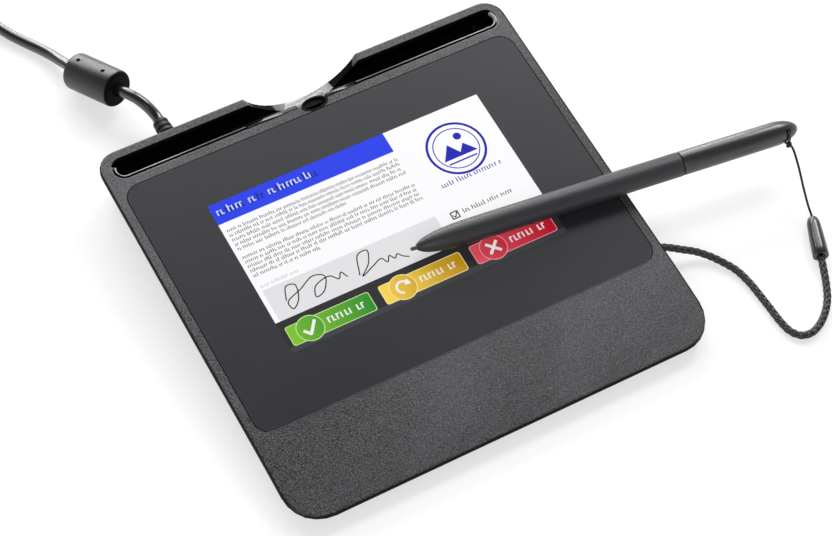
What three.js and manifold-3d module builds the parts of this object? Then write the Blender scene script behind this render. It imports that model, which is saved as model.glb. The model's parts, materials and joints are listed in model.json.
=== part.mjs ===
// Signature pad with a pen tray, a pen stand, a tethered pen and a captive data cable.
// Millimetres. +X is right, +Y is to the rear, +Z is up, and everything stands on z = 0.
// The deck is the plane of the glass: it passes over the base and rises to the rear.
import * as THREE from 'three';
import { mergeVertices } from 'three/addons/utils/BufferGeometryUtils.js';
import Module from 'manifold-3d';

const wasm = await Module();
wasm.setup();

// Fits and fineness
const gap = 0.3; // between pieces that touch
const overrun = 3; // how far a cutting shape runs past a face
const weld = 1e-4; // vertices closer than this are one
const arcSteps = 6; // steps in a quarter of a rounded corner
const roundSides = 16; // sides of small round pieces

// Deck: the picture area, the glass round it and the case round the glass
const deckTilt = THREE.MathUtils.degToRad(5);
const picture = { width: 108, depth: 64.8 };
const glassMargin = { side: 23.6, front: 23.2, rear: 19.2 };
const glass = { thickness: 1.1, cornerRadius: 6 };
const tape = { thickness: 0.3, width: 3.2 };
const bezel = { side: 3.8, rear: 3.5 };
const palmRest = { depth: 34.9, drop: 1.4, deckHeight: 7.2, stations: 7 };

// Case shells
const shell = {
  wall: 2.2,
  edge: 0.8,
  edgeSteps: 3,
  rim: 2.2,
  undercut: 3.5,
  frontRadius: 13.5,
  rearRadius: 7.5,
  lip: 13,
};
const ledge = { width: 4, thickness: 1.4, skirt: 1.8 };
const parting = { height: 4, gap };
const base = { inset: 1, undercut: 1, wall: 2, floor: 2, clearance: 1 };
const foot = { radius: 6, height: 1.3, edge: 0.3, inset: 13 };

// Pen, and the tray and stand that take it
const pen = {
  length: 150.6,
  radius: 4.45,
  wall: 1.2,
  nose: 34,
  nosePower: 4,
  dome: 10,
  seam: 103.5,
  seamGap: 0.3,
  boreStart: 20,
  endWall: 12.6,
  capRadius: 4.4,
  noseStart: 2,
  noseSteps: 10,
  domeSteps: 6,
  sides: 20,
};
const tray = { sideClearance: 0.2, endClearance: 2.65, depth: 9.5, wall: 0.9, shift: 0.45, rearWall: 3.4 };
const scoop = { radius: 26.7, depth: 13.5, wall: 1.2, shift: 0.3, sides: 56 };
const stand = { width: 10.3, depth: 5.6, wall: 0.6, length: 8, floor: 1, rim: 1.5, setBack: 3.15, shift: -0.35 };

// Display stack under the glass: how far each piece reaches past another, or is set in from it
const panel = { sideRim: 5, endRim: 5.6, thickness: 1.2 };
const ledBar = { depth: 1.2, clearance: 0.5, thickness: 0.9, leds: 9, ledWidth: 3 };
const guide = { sideInset: 1, thickness: 1 };
const tub = { wall: 0.4, floor: 0.3, clearance: 0.4 };
const sensor = { reach: 0.7, thickness: 0.8 };
const shield = { inset: 1, thickness: 0.3 };
const chassis = { flange: 1.2, overlap: 2, wall: 1.4, floor: 0.8, floorRim: 8, clearance: 1 };
const ribbon = {
  thickness: 0.25,
  run: 5.1,
  display: { width: 20, x: 12 },
  sensor: { width: 9, x: -16 },
};

// Electronics and fixings
const board = { left: 68, right: 40, depth: 13, reach: 2.8, thickness: 1.2 };
const standoff = { radius: 2.4, inset: 4.5 };
const chip = { width: 7, depth: 7, thickness: 1 };
const chipPlaces = [-32, -4, 28];
const socket = { width: 9, depth: 5, thickness: 3 };
const wires = { radius: 0.9, sides: 8 };
const screw = { shank: 1, head: 2.1, headHeight: 1.3, headEdge: 0.3, length: 5.2, sides: 10 };
const boardScrew = { shank: 0.9, head: 1.8, headHeight: 1, headEdge: 0.25, length: 2.6 };
const boss = { radius: 3, seam: 4.8 };
const caseScrewRows = { front: 24.5, middle: 76, rear: 24 };

// Data cable: boot, lead, suppressor bead, run, coil and plug
const cable = { radius: 2.1, sides: 8, stepDiameters: 2.5 };
const boot = {
  place: 49.6,
  height: 8.2,
  neck: 3.2,
  flange: 4.6,
  flangeDepth: 0.9,
  collar: 4.1,
  collarDepth: 1.6,
  ribBase: 3.6,
  ribTip: 2.9,
  ribs: 5,
  ribDepth: 1.5,
  ribGap: 0.8,
  core: 2.6,
  wireGuide: 1.6,
};
const bead = {
  radius: 7,
  length: 22,
  edge: 1.6,
  bore: 2.4,
  pinRadius: 0.8,
  pinDepth: 1,
  pinSpread: 6.1,
  pinShift: 0.7,
};
const softShare = 0.3; // how much of a rounded edge its middle point is set in
const beadCore = { radius: 5.4, length: 18 };
const coil = {
  x: -118,
  y: 196,
  innerRadius: 14.6,
  pitch: 4.72,
  turnsPerLayer: 4.389,
  layers: 4,
  sides: 6,
  stepsPerTurn: 24,
  startDegrees: -20,
};
const climbTurns = 0.5; // part of a turn in which the cable rises to the next layer
const tie = { width: 9, thickness: 0.8, degrees: 95 };
const plug = {
  x: -155,
  y: 143,
  length: 26,
  width: 15,
  height: 7.6,
  corner: 2.4,
  bootLength: 9,
  bootRadius: 3.4,
  bootTip: 2.7,
};
const plugShell = { length: 12, width: 12, height: 4.5, wall: 0.4, seat: 4 };
const plugTongue = { height: 1.8 };

// Tether: bush in the side wall, braid on the table, coupler and string to the pen
const braid = { radius: 1.4, sides: 8, stepDiameters: 2.5 };
const bush = { place: 50.3, height: 6.4, recess: 1.5, radius: 1.8, flange: 2.6, flangeDepth: 0.8, nose: 0.6 };
const anchor = { length: 1.7, width: 5, height: 2.5, rise: 0.7 };
const string = { radius: 0.45, sides: 8, stepDiameters: 4, loopStepsPerPoint: 2 };
const coupler = { radius: 2.95, edge: 0.4, shoulder: 2.5, tipRadius: 1.2, length: 17, taper: 3 };
const pinHole = { radius: 1.1, setBack: 5.2, degrees: 40 };
const knot = { radius: 1.1 };

// Pen insides
const nib = { radius: 0.75, length: 33, collar: 0.6 };
const ferrite = { start: 21, length: 10, radius: 1.9 };
const winding = { start: 22, length: 8, thickness: 0.5 };
const pressure = { length: 7, radius: 2.4, clearance: 0.8 };
const penBoard = { length: 56, width: 3.6, thickness: 0.8 };
const carrier = { wall: 0.7, length: 66 };

// Where the pen lies on the glass, from the picture's centre, and how far it is turned
const penTip = { x: -0.44, y: -16.61, degrees: -6.48 };

// Points that loose pieces pass through, from the picture's centre over the table
const leadRoute = [
  [-49.6, 81.3, 8.2],
  [-49.65, 83.1, 8.4],
  [-50.1, 85.1, 9.1],
  [-50.8, 87, 10],
  [-51.7, 88.9, 10.9],
  [-52.75, 90.9, 11.6],
  [-53.9, 92.9, 12.05],
  [-55.15, 94.95, 12.15],
  [-56.36, 97, 11.88],
  [-57.38, 99.26, 11.33],
  [-60.6, 106.38, 9.59],
  [-66.07, 118.44, 6.64],
];
const beadEnds = [[-57.38, 99.26, 11.33], [-66.24, 118.82, 6.55]];
const runRoute = [
  [-66.25, 118.84, 6.55],
  [-67.54, 124.18, 5],
  [-68.56, 127.51, 4.1],
  [-69.59, 130.77, 3.4],
  [-70.78, 133.66, 2.9],
  [-72.04, 136.35, 2.6],
  [-73.39, 138.84, 2.4],
  [-76.21, 143.48, 2.3],
  [-78.99, 148.24, 2.3],
  [-80.7, 151.74, 2.3],
  [-83.5, 158.3, 2.3],
  [-86.2, 165.8, 2.6],
  [-87.3, 172.6, 3.1],
  [-86.4, 179.3, 3.2],
];
const tailRoute = [
  [-153.3, 191.2, 17.3],
  [-153.5, 184, 16.2],
  [-154.3, 174, 11],
  [-154.8, 164, 5.8],
  [-155, 157, 4.3],
  [-155, 152.4, 4.1],
];
const braidRoute = [
  [81.9, -50.3, 6.4],
  [83.2, -50.5, 6.3],
  [84.7, -51.2, 6],
  [86.9, -52.4, 5.5],
  [89.3, -53.7, 4.8],
  [93.5, -55.8, 3.5],
  [97.6, -59.3, 2.3],
  [100.6, -63.3, 1.6],
  [103, -68.1, 1.4],
  [104.2, -74.4, 1.4],
  [104.5, -80.7, 1.4],
  [104.6, -87.4, 1.4],
  [104.7, -94.1, 1.4],
  [105.5, -98.8, 1.4],
  [107.8, -101.9, 1.4],
  [111.4, -102.8, 1.4],
  [116, -101.3, 1.4],
  [120.3, -98.3, 1.4],
  [124.2, -94.2, 1.4],
  [127, -89.7, 1.6],
  [129.2, -85.1, 2.2],
  [131.1, -80.6, 2.9],
  [131.9, -78.8, 3],
];
const couplerEnds = [[132.1, -78.4, 3.05], [138.85, -62.8, 3.3]];
const stringRoute = [
  [139, -62.45, 3.35],
  [139.7, -58.6, 5],
  [140.6, -53.6, 8.3],
  [142.65, -45.7, 12.4],
  [144.15, -39.1, 15.9],
];
const loopRoute = [
  [0, -3],
  [0, 0],
  [0, 3],
  [-0.7, 4.8],
  [-2.7, 5.1],
  [-4.6, 3.6],
  [-5.35, 0],
  [-4.6, -3.6],
  [-2.7, -5.1],
  [-0.7, -4.8],
];
const knotPlace = [-5.3, 1.7];

// Places worked out from the sizes above, in deck coordinates round the picture's centre
const glassHalf = picture.width / 2 + glassMargin.side;
const glassFront = -picture.depth / 2 - glassMargin.front;
const glassRear = picture.depth / 2 + glassMargin.rear;
const trayRadius = pen.radius + tray.sideClearance;
const trayHalf = pen.length / 2 + tray.endClearance;
const trayFront = glassRear + bezel.rear;
const trayMiddle = trayFront + trayRadius;
const trayRear = trayMiddle + trayRadius;
const trayAxis = tray.depth - trayRadius;
const caseHalf = Math.max(glassHalf + bezel.side, trayHalf + tray.shift + shell.wall);
const caseFront = glassFront - palmRest.depth;
const caseRear = trayRear + tray.rearWall;
const deckHeight = palmRest.deckHeight - caseFront * Math.sin(deckTilt);
const deckMatrix = new THREE.Matrix4()
  .makeTranslation(0, 0, deckHeight)
  .multiply(new THREE.Matrix4().makeRotationX(deckTilt));
const floorTop = base.clearance + base.floor;
const panelSize = { width: picture.width + 2 * panel.sideRim, depth: picture.depth + 2 * panel.endRim };
const guideSize = {
  width: panelSize.width - 2 * guide.sideInset,
  depth: panelSize.depth - 2 * (ledBar.depth + ledBar.clearance + gap),
};
const tubRoom = { width: panelSize.width + 2 * tub.clearance, depth: panelSize.depth + 2 * tub.clearance };
const tubSize = { width: tubRoom.width + 2 * tub.wall, depth: tubRoom.depth + 2 * tub.wall };
const sensorSize = { width: tubSize.width + 2 * sensor.reach, depth: tubSize.depth + 2 * sensor.reach };
const shieldSize = { width: sensorSize.width - 2 * shield.inset, depth: sensorSize.depth - 2 * shield.inset };
const basinHalf = sensorSize.width / 2 + chassis.clearance;
const basinDepth = sensorSize.depth / 2 + chassis.clearance;
const ribbonRear = basinDepth + chassis.wall + ribbon.run;
const boardFront = ribbonRear - board.reach;
const boardRear = boardFront + board.depth;
const boardTop = boot.height - socket.thickness / 2 - gap;
const boardBottom = boardTop - board.thickness;
const plan = {
  halfWidth: caseHalf,
  front: caseFront * Math.cos(deckTilt),
  rear: caseRear * Math.cos(deckTilt),
  frontRadius: shell.frontRadius,
  rearRadius: shell.rearRadius,
};

// Materials
const looks = {
  housing: { color: 0x4c4d50, roughness: 0.72, metalness: 0 },
  base: { color: 0x1b1b1c, roughness: 0.6, metalness: 0 },
  liner: { color: 0x0a0a0b, roughness: 0.12, metalness: 0 },
  glass: { color: 0x3c3d42, roughness: 0.4, metalness: 0 },
  adhesive: { color: 0x101010, roughness: 0.8, metalness: 0 },
  picture: { color: 0xe8eaf0, roughness: 0.3, metalness: 0 },
  steel: { color: 0xb4b6b8, roughness: 0.35, metalness: 1 },
  diffuser: { color: 0xf4f4f0, roughness: 0.5, metalness: 0 },
  board: { color: 0x1f6a3c, roughness: 0.5, metalness: 0 },
  chip: { color: 0x161616, roughness: 0.5, metalness: 0 },
  film: { color: 0xc2852a, roughness: 0.45, metalness: 0 },
  frame: { color: 0x2c2d2f, roughness: 0.6, metalness: 0 },
  rubber: { color: 0x171717, roughness: 0.85, metalness: 0 },
  cable: { color: 0x2c2d30, roughness: 0.32, metalness: 0 },
  bead: { color: 0x303136, roughness: 0.45, metalness: 0 },
  ferrite: { color: 0x232326, roughness: 0.7, metalness: 0 },
  plating: { color: 0xc9cacc, roughness: 0.22, metalness: 1 },
  braid: { color: 0x111112, roughness: 0.75, metalness: 0 },
  penGrip: { color: 0x3f4042, roughness: 0.5, metalness: 0 },
  penCap: { color: 0x343537, roughness: 0.26, metalness: 0 },
  nib: { color: 0x141414, roughness: 0.5, metalness: 0 },
  copper: { color: 0xb5682c, roughness: 0.35, metalness: 1 },
};

// Closed geometry: welded, without slivers of no area, and with its faces pointing out
function closed(geometry) {
  const bare = geometry.clone();
  bare.deleteAttribute('normal');
  bare.deleteAttribute('uv');
  const welded = mergeVertices(bare, weld);
  const position = welded.getAttribute('position');
  const corners = [];
  const [a, b, c] = [new THREE.Vector3(), new THREE.Vector3(), new THREE.Vector3()];
  let volume = 0;
  for (let i = 0; i < welded.index.count; i += 3) {
    const [p, q, r] = [0, 1, 2].map((k) => welded.index.getX(i + k));
    if (p !== q && q !== r && r !== p) {
      corners.push(p, q, r);
      a.fromBufferAttribute(position, p);
      b.fromBufferAttribute(position, q);
      c.fromBufferAttribute(position, r);
      volume += a.dot(b.cross(c));
    }
  }
  if (volume < 0) {
    corners.reverse();
  }
  const result = new THREE.BufferGeometry();
  result.setAttribute('position', position);
  result.setIndex(corners);
  return result;
}

function toSolid(geometry) {
  const whole = closed(geometry);
  return new wasm.Manifold(
    new wasm.Mesh({
      numProp: 3,
      vertProperties: new Float32Array(whole.getAttribute('position').array),
      triVerts: new Uint32Array(whole.index.array),
    }),
  );
}

function toGeometry(solid) {
  const mesh = solid.getMesh();
  const geometry = new THREE.BufferGeometry();
  geometry.setAttribute('position', new THREE.BufferAttribute(new Float32Array(mesh.vertProperties), 3));
  geometry.setIndex(Array.from(mesh.triVerts));
  return geometry;
}

function cut(first, ...tools) {
  return toGeometry(tools.reduce((solid, tool) => solid.subtract(toSolid(tool)), toSolid(first)));
}

function join(first, ...others) {
  return toGeometry(others.reduce((solid, other) => solid.add(toSolid(other)), toSolid(first)));
}

function common(first, second) {
  return toGeometry(toSolid(first).intersect(toSolid(second)));
}

// Basic shapes
function box(width, depth, height, x = 0, y = 0, z = 0) {
  return new THREE.BoxGeometry(width, depth, height).translate(x, y, z + height / 2);
}

function roundedPlan(halfWidth, front, rear, frontRadius, rearRadius = frontRadius) {
  const shape = new THREE.Shape();
  const quarter = Math.PI / 2;
  shape.moveTo(-halfWidth + frontRadius, front);
  shape.lineTo(halfWidth - frontRadius, front);
  shape.absarc(halfWidth - frontRadius, front + frontRadius, frontRadius, -quarter, 0);
  shape.lineTo(halfWidth, rear - rearRadius);
  shape.absarc(halfWidth - rearRadius, rear - rearRadius, rearRadius, 0, quarter);
  shape.lineTo(-halfWidth + rearRadius, rear);
  shape.absarc(-halfWidth + rearRadius, rear - rearRadius, rearRadius, quarter, Math.PI);
  shape.lineTo(-halfWidth, front + frontRadius);
  shape.absarc(-halfWidth + frontRadius, front + frontRadius, frontRadius, Math.PI, Math.PI + quarter);
  return shape;
}

function rectanglePlan(halfWidth, front, rear) {
  return new THREE.Shape([
    new THREE.Vector2(-halfWidth, front),
    new THREE.Vector2(halfWidth, front),
    new THREE.Vector2(halfWidth, rear),
    new THREE.Vector2(-halfWidth, rear),
  ]);
}

function ovalPlan(halfWidth, halfDepth, sides = roundSides) {
  const points = Array.from({ length: sides }, (_, i) => {
    const angle = (i / sides) * 2 * Math.PI;
    return new THREE.Vector2(halfWidth * Math.cos(angle), halfDepth * Math.sin(angle));
  });
  return new THREE.Shape(points);
}

function prism(shape, low, high) {
  const options = { depth: high - low, bevelEnabled: false, curveSegments: arcSteps };
  return new THREE.ExtrudeGeometry(shape, options).translate(0, 0, low);
}

// A solid of revolution about Z: points are [radius, height], closed on the axis or on themselves
function turned(points, sides = roundSides) {
  const profile = points.map(([radius, height]) => new THREE.Vector2(radius, height));
  return new THREE.LatheGeometry(profile, sides).rotateX(Math.PI / 2);
}

function rod(radius, low, high, sides = roundSides) {
  return turned([[0, low], [radius, low], [radius, high], [0, high]], sides);
}

function sleeve(outer, inner, low, high, sides = roundSides) {
  return turned([[inner, low], [outer, low], [outer, high], [inner, high], [inner, low]], sides);
}

function alongX(geometry) {
  return geometry.rotateY(Math.PI / 2);
}

function alongY(geometry) {
  return geometry.rotateX(-Math.PI / 2);
}

// A round tube through chosen points, with square ends
function tube(points, { radius, sides, stepDiameters }) {
  const curve = new THREE.CatmullRomCurve3(points, false, 'centripetal');
  const steps = Math.ceil(curve.getLength() / (stepDiameters * 2 * radius));
  return new THREE.ExtrudeGeometry(ovalPlan(radius, radius, sides), { steps, extrudePath: curve });
}

function vector([x, y, z]) {
  return new THREE.Vector3(x, y, z);
}

// A block with a rounded plan, built up from rings. A ring is set in from the plan, at the rear perhaps
// by another amount, and its height may change from front to rear.
function drapedBlock(outline, rings, extraRows = []) {
  const { halfWidth, front, rear, frontRadius, rearRadius } = outline;
  const half = [];
  for (let i = 0; i <= arcSteps; i += 1) {
    const angle = (i / arcSteps - 1) * (Math.PI / 2);
    half.push([halfWidth - frontRadius, front + frontRadius, frontRadius, angle]);
  }
  for (const y of extraRows) {
    if (y > front + frontRadius + weld && y < rear - rearRadius - weld) {
      half.push([halfWidth, y, 0, 0]);
    }
  }
  for (let i = 0; i <= arcSteps; i += 1) {
    const angle = (i / arcSteps) * (Math.PI / 2);
    half.push([halfWidth - rearRadius, rear - rearRadius, rearRadius, angle]);
  }
  const vertices = [];
  for (const { inset, rearInset = inset, height } of rings) {
    const right = half.map(([x, y, radius, angle]) => [
      x + (radius - inset) * Math.cos(angle),
      y + (radius - (angle > 0 ? rearInset : inset)) * Math.sin(angle),
    ]);
    const left = right.map(([x, y]) => [-x, y]).reverse();
    for (const [x, y] of [...right, ...left]) {
      vertices.push(x, y, height(y));
    }
  }
  const count = half.length * 2;
  const faces = [];
  for (let ring = 0; ring < rings.length - 1; ring += 1) {
    for (let i = 0; i < count; i += 1) {
      const [p, q] = [ring * count + i, ring * count + ((i + 1) % count)];
      faces.push(p, q, q + count, p, q + count, p + count);
    }
  }
  const last = (rings.length - 1) * count;
  for (let i = 0; i < half.length - 1; i += 1) {
    const [right, next] = [i, i + 1];
    const [left, nextLeft] = [count - 1 - i, count - 2 - i];
    faces.push(last + right, last + next, last + nextLeft, last + right, last + nextLeft, last + left);
    faces.push(right, nextLeft, next, right, left, nextLeft);
  }
  const geometry = new THREE.BufferGeometry();
  geometry.setAttribute('position', new THREE.Float32BufferAttribute(vertices, 3));
  geometry.setIndex(faces);
  return geometry;
}

function insetPlan(amount, rearAmount = amount) {
  return {
    halfWidth: plan.halfWidth - amount,
    front: plan.front + amount,
    rear: plan.rear - rearAmount,
    frontRadius: plan.frontRadius - amount,
    rearRadius: plan.rearRadius - rearAmount,
  };
}

// Rings of a block with upright sides
function uprightRings(low, high) {
  return [{ inset: 0, height: () => low }, { inset: 0, height: high }];
}

// Height of the case's top at a distance from front to rear: the deck, then the palm rest's curve
const palmStart = glassFront * Math.cos(deckTilt);
const palmRows = Array.from(
  { length: palmRest.stations },
  (_, i) => plan.front + ((palmStart - plan.front) * (i + 1)) / palmRest.stations,
);

function topAt(y) {
  const onPalm = Math.max(0, palmStart - y) / (palmStart - plan.front);
  return deckHeight + y * Math.tan(deckTilt) - palmRest.drop * onPalm * onPalm;
}

// The upper housing's outer rings: an undercut wall, a thin upright rim and a rounded top edge
function housingRings(bottom) {
  const rings = [
    { inset: shell.undercut, rearInset: 0, height: () => bottom },
    { inset: 0, height: (y) => Math.max(bottom, topAt(y) - shell.rim) },
  ];
  for (let i = 0; i <= shell.edgeSteps; i += 1) {
    const angle = (i / shell.edgeSteps) * (Math.PI / 2);
    const drop = shell.edge * (1 - Math.sin(angle));
    rings.push({ inset: shell.edge * (1 - Math.cos(angle)), height: (y) => topAt(y) - drop });
  }
  return rings;
}

// The hollow's rings: they follow the undercut wall and stop under the top
function hollowRings(bottom) {
  return [
    { inset: shell.undercut, rearInset: 0, height: () => bottom - overrun },
    { inset: shell.undercut, rearInset: 0, height: () => bottom },
    { inset: 0, height: (y) => topAt(y) - shell.wall },
  ];
}

function fromTable(geometry) {
  return geometry.applyMatrix4(deckMatrix.clone().invert());
}

function toDeck(geometry) {
  return geometry.applyMatrix4(deckMatrix);
}

// The finger scoop: a round cut through the tray's rear half, falling from the tray's floor to the rear
function scoopDrum(growth, rear, top) {
  const fall = (scoop.depth - tray.depth) / (caseRear - trayMiddle);
  const drum = alongY(rod(scoop.radius + growth, trayMiddle - growth, rear, scoop.sides));
  drum.translate(scoop.shift, 0, scoop.radius - scoop.depth + fall * caseRear);
  drum.applyMatrix4(new THREE.Matrix4().makeShear(0, 0, 0, -fall, 0, 0));
  const reach = scoop.radius + scoop.wall + overrun;
  return common(drum, box(2 * reach, caseRear, 2 * reach, scoop.shift, caseRear, top - 2 * reach));
}

// The tray's trough is a capsule lying along X, open upwards through its own plan
function trough(growth, top) {
  const radius = trayRadius + growth;
  const straight = trayHalf - trayRadius;
  const profile = [];
  for (let i = 0; i <= arcSteps; i += 1) {
    const angle = (i / arcSteps) * (Math.PI / 2);
    profile.push([radius * Math.sin(angle), -straight - radius * Math.cos(angle)]);
  }
  for (let i = 0; i <= arcSteps; i += 1) {
    const angle = (i / arcSteps) * (Math.PI / 2);
    profile.push([radius * Math.cos(angle), straight + radius * Math.sin(angle)]);
  }
  const capsule = alongX(turned(profile, arcSteps * 4)).translate(tray.shift, trayMiddle, -trayAxis);
  const outline = roundedPlan(straight + radius, -radius, radius, radius);
  const well = prism(outline, -trayAxis, top).translate(tray.shift, trayMiddle, 0);
  const reach = 2 * (straight + radius);
  const under = box(reach, reach, tray.depth + radius, tray.shift, trayMiddle, top - tray.depth - radius);
  return common(join(capsule, well), under);
}

// The pen stand's oval, between the glass and the tray
function standOval(growth, low, high) {
  const outline = ovalPlan(stand.width / 2 + growth, stand.depth / 2 + growth);
  return prism(outline, low, high).translate(stand.shift, glassRear + stand.setBack, 0);
}

// Places of the case screws: three along each side
const bossSide = caseHalf - shell.undercut - shell.wall - boss.radius;
const screwRows = [
  caseFront + caseScrewRows.front,
  caseFront + caseScrewRows.middle,
  caseRear - caseScrewRows.rear,
];
const screwTop = base.clearance + screw.headHeight + screw.length;
const screwPlaces = screwRows.flatMap((y) => [[-bossSide, y], [bossSide, y]]);

// The tether's bush sits in a slot of the right wall, open to the parting line
const bushFace = plan.halfWidth - bush.recess;

function bushSlot(radius, start, end) {
  const hole = alongX(rod(radius, start, end));
  const slot = box(end - start, 2 * radius, bush.height, (start + end) / 2, 0, -bush.height);
  return join(hole, slot).translate(bushFace, -bush.place, bush.height);
}

// An upright land behind the undercut wall, which the bush's flange rests on
function bushLand(bottom) {
  const width = 2 * (bush.flange + shell.wall);
  const height = bush.height + bush.flange + shell.wall - bottom;
  return box(shell.wall, width, height, bushFace - shell.wall / 2, -bush.place, bottom);
}

// Room behind the land for the tether's anchor
function anchorPocket(bottom) {
  const length = anchor.length + shell.undercut;
  const right = bushFace - shell.wall;
  const height = bush.height + anchor.rise + gap - bottom + overrun;
  return box(length, anchor.width + 2 * gap, height, right - length / 2, -bush.place, bottom - overrun);
}

function makeUpperHousing() {
  const bottom = parting.height + parting.gap;
  const pocketDepth = glass.thickness + tape.thickness + 2 * gap;
  const outer = drapedBlock(plan, housingRings(bottom), palmRows);
  const inner = insetPlan(shell.wall);
  inner.front = plan.front + shell.lip;
  const hollow = drapedBlock(inner, hollowRings(bottom), palmRows);
  const cavity = cut(hollow, toDeck(scoopDrum(scoop.wall + gap + shell.wall, caseRear + overrun, overrun)));
  const glassOutline = (growth) =>
    roundedPlan(glassHalf + growth, glassFront - growth, glassRear + growth, glass.cornerRadius + growth);
  const window = rectanglePlan(glassHalf - ledge.width, glassFront + ledge.width, glassRear - ledge.width);
  const ledgeBottom = -pocketDepth - ledge.thickness;
  const rim = prism(glassOutline(ledge.skirt), ledgeBottom, -shell.wall / 2);
  const bosses = screwPlaces.map(([x, y]) => {
    return rod(boss.radius, boss.seam + gap, topAt(y) - shell.wall / 2).translate(x, y, 0);
  });
  const pilots = screwPlaces.map(([x, y]) => {
    return rod(screw.shank + gap / 2, bottom - overrun, screwTop + gap, screw.sides).translate(x, y, 0);
  });
  const cutters = [
    toDeck(prism(window, ledgeBottom - overrun, overrun)),
    toDeck(prism(glassOutline(gap), -pocketDepth, overrun)),
    toDeck(trough(0, overrun)),
    toDeck(trough(tray.wall + gap, -shell.wall)),
    toDeck(scoopDrum(0, caseRear + overrun, overrun)),
    toDeck(scoopDrum(scoop.wall + gap, caseRear + overrun, -shell.wall)),
    toDeck(standOval(gap, -stand.length - gap, overrun)),
    alongY(rod(boot.neck + gap, -overrun, shell.wall + overrun)).translate(
      -boot.place,
      plan.rear - shell.wall,
      boot.height,
    ),
    bushSlot(bush.radius + gap, -shell.wall - overrun, overrun),
    bushSlot(bush.flange + gap, 0, bush.recess + overrun),
    anchorPocket(bottom),
    ...pilots,
  ];
  const land = common(bushLand(bottom), outer);
  return cut(join(cut(outer, cavity), toDeck(rim), land, ...bosses), ...cutters);
}

function makeLowerHousing() {
  const sideInset = shell.undercut + base.inset;
  const outer = drapedBlock(insetPlan(sideInset, base.inset), [
    { inset: base.undercut, height: () => base.clearance },
    { inset: 0, height: () => parting.height },
  ]);
  const wellPlan = insetPlan(sideInset + base.wall, base.inset + base.wall);
  const well = drapedBlock(wellPlan, uprightRings(floorTop, () => parting.height + overrun));
  const posts = screwPlaces.map(([x, y]) => rod(boss.radius, base.clearance, boss.seam).translate(x, y, 0));
  const standoffs = boardScrewPlaces.map(([x, y]) => {
    return rod(standoff.radius, base.clearance, boardBottom - gap, screw.sides).translate(x, y, 0);
  });
  const clearHoles = screwPlaces.map(([x, y]) => {
    return rod(screw.shank + gap, 0, boss.seam + overrun, screw.sides).translate(x, y, 0);
  });
  const headWells = screwPlaces.map(([x, y]) => {
    return rod(screw.head + gap, 0, base.clearance + screw.headHeight + gap, screw.sides).translate(x, y, 0);
  });
  const threads = boardScrewPlaces.map(([x, y]) => {
    const depth = boardTop - boardScrew.length - gap;
    return rod(boardScrew.shank + gap / 2, depth, boardTop, screw.sides).translate(x, y, 0);
  });
  const footWells = footPlaces.map(([x, y]) => {
    return rod(foot.radius + gap, 0, foot.height + gap).translate(x, y, 0);
  });
  const block = join(cut(outer, well), ...posts, ...standoffs);
  return cut(block, ...clearHoles, ...headWells, ...threads, ...footWells);
}

const boardScrewPlaces = [
  [-board.left + standoff.inset, boardFront + standoff.inset],
  [board.right - standoff.inset, boardFront + standoff.inset],
];
const footPlaces = [
  [-caseHalf + foot.inset, caseFront + foot.inset],
  [caseHalf - foot.inset, caseFront + foot.inset],
  [-caseHalf + foot.inset, caseRear - foot.inset],
  [caseHalf - foot.inset, caseRear - foot.inset],
];
const screwNames = [
  'case_screw_front_left',
  'case_screw_front_right',
  'case_screw_middle_left',
  'case_screw_middle_right',
  'case_screw_rear_left',
  'case_screw_rear_right',
];
const footNames = ['foot_front_left', 'foot_front_right', 'foot_rear_left', 'foot_rear_right'];

function makeFoot() {
  return turned([
    [0, 0],
    [foot.radius - foot.edge, 0],
    [foot.radius, foot.edge],
    [foot.radius, foot.height],
    [0, foot.height],
  ]);
}

function screwSolid({ shank, head, headHeight, headEdge, length }, up) {
  const points = [
    [0, 0],
    [head - headEdge, 0],
    [head, headEdge],
    [head, headHeight],
    [shank, headHeight],
    [shank, headHeight + length],
    [0, headHeight + length],
  ];
  const solid = turned(points, screw.sides);
  return up ? solid : solid.rotateX(Math.PI);
}

// Tray, scoop saddle and pen stand are one moulding, held under the upper housing's skin
function makeTray() {
  const skin = -shell.wall - gap;
  const rear = caseRear + overrun;
  const saddle = cut(scoopDrum(scoop.wall, rear, skin), scoopDrum(0, rear + overrun, overrun));
  const cup = standOval(0, -stand.length, 0);
  const cupHollow = cut(
    standOval(-stand.wall, -stand.length + stand.floor, overrun),
    trough(stand.wall, -stand.rim + stand.wall),
  );
  const shellBody = cut(join(trough(tray.wall, skin), saddle), scoopDrum(0, rear, overrun));
  const whole = cut(join(shellBody, cup), trough(0, -stand.rim), cupHollow);
  const limit = drapedBlock(plan, uprightRings(parting.height, (y) => topAt(y) + overrun));
  return common(toDeck(whole), limit);
}

// Display stack: heights below the deck, each piece under the one before
const stack = {};
stack.tape = -glass.thickness - gap;
stack.panel = stack.tape;
stack.guide = stack.panel - panel.thickness - gap;
stack.tubFloor = stack.guide - guide.thickness - gap;
stack.sensor = stack.tubFloor - tub.floor - gap;
stack.shield = stack.sensor - sensor.thickness - gap;
stack.chassisFloor = stack.shield - shield.thickness - gap;
stack.flange = -glass.thickness - tape.thickness - 2 * gap - ledge.thickness - gap;

function makeTape() {
  const outer = roundedPlan(glassHalf - gap, glassFront + gap, glassRear - gap, glass.cornerRadius - gap);
  const inset = gap + tape.width;
  const hole = roundedPlan(glassHalf - inset, glassFront + inset, glassRear - inset, glass.cornerRadius - inset);
  outer.holes.push(hole);
  return prism(outer, stack.tape - tape.thickness, stack.tape);
}

function plate({ width, depth }, thickness, top) {
  return box(width, depth, thickness, 0, 0, top - thickness);
}

function makeTub() {
  const bottom = stack.tubFloor - tub.floor;
  const outer = box(tubSize.width, tubSize.depth, stack.panel - bottom, 0, 0, bottom);
  const hollow = box(tubRoom.width, tubRoom.depth, overrun - stack.tubFloor, 0, 0, stack.tubFloor);
  return cut(outer, hollow);
}

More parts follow.
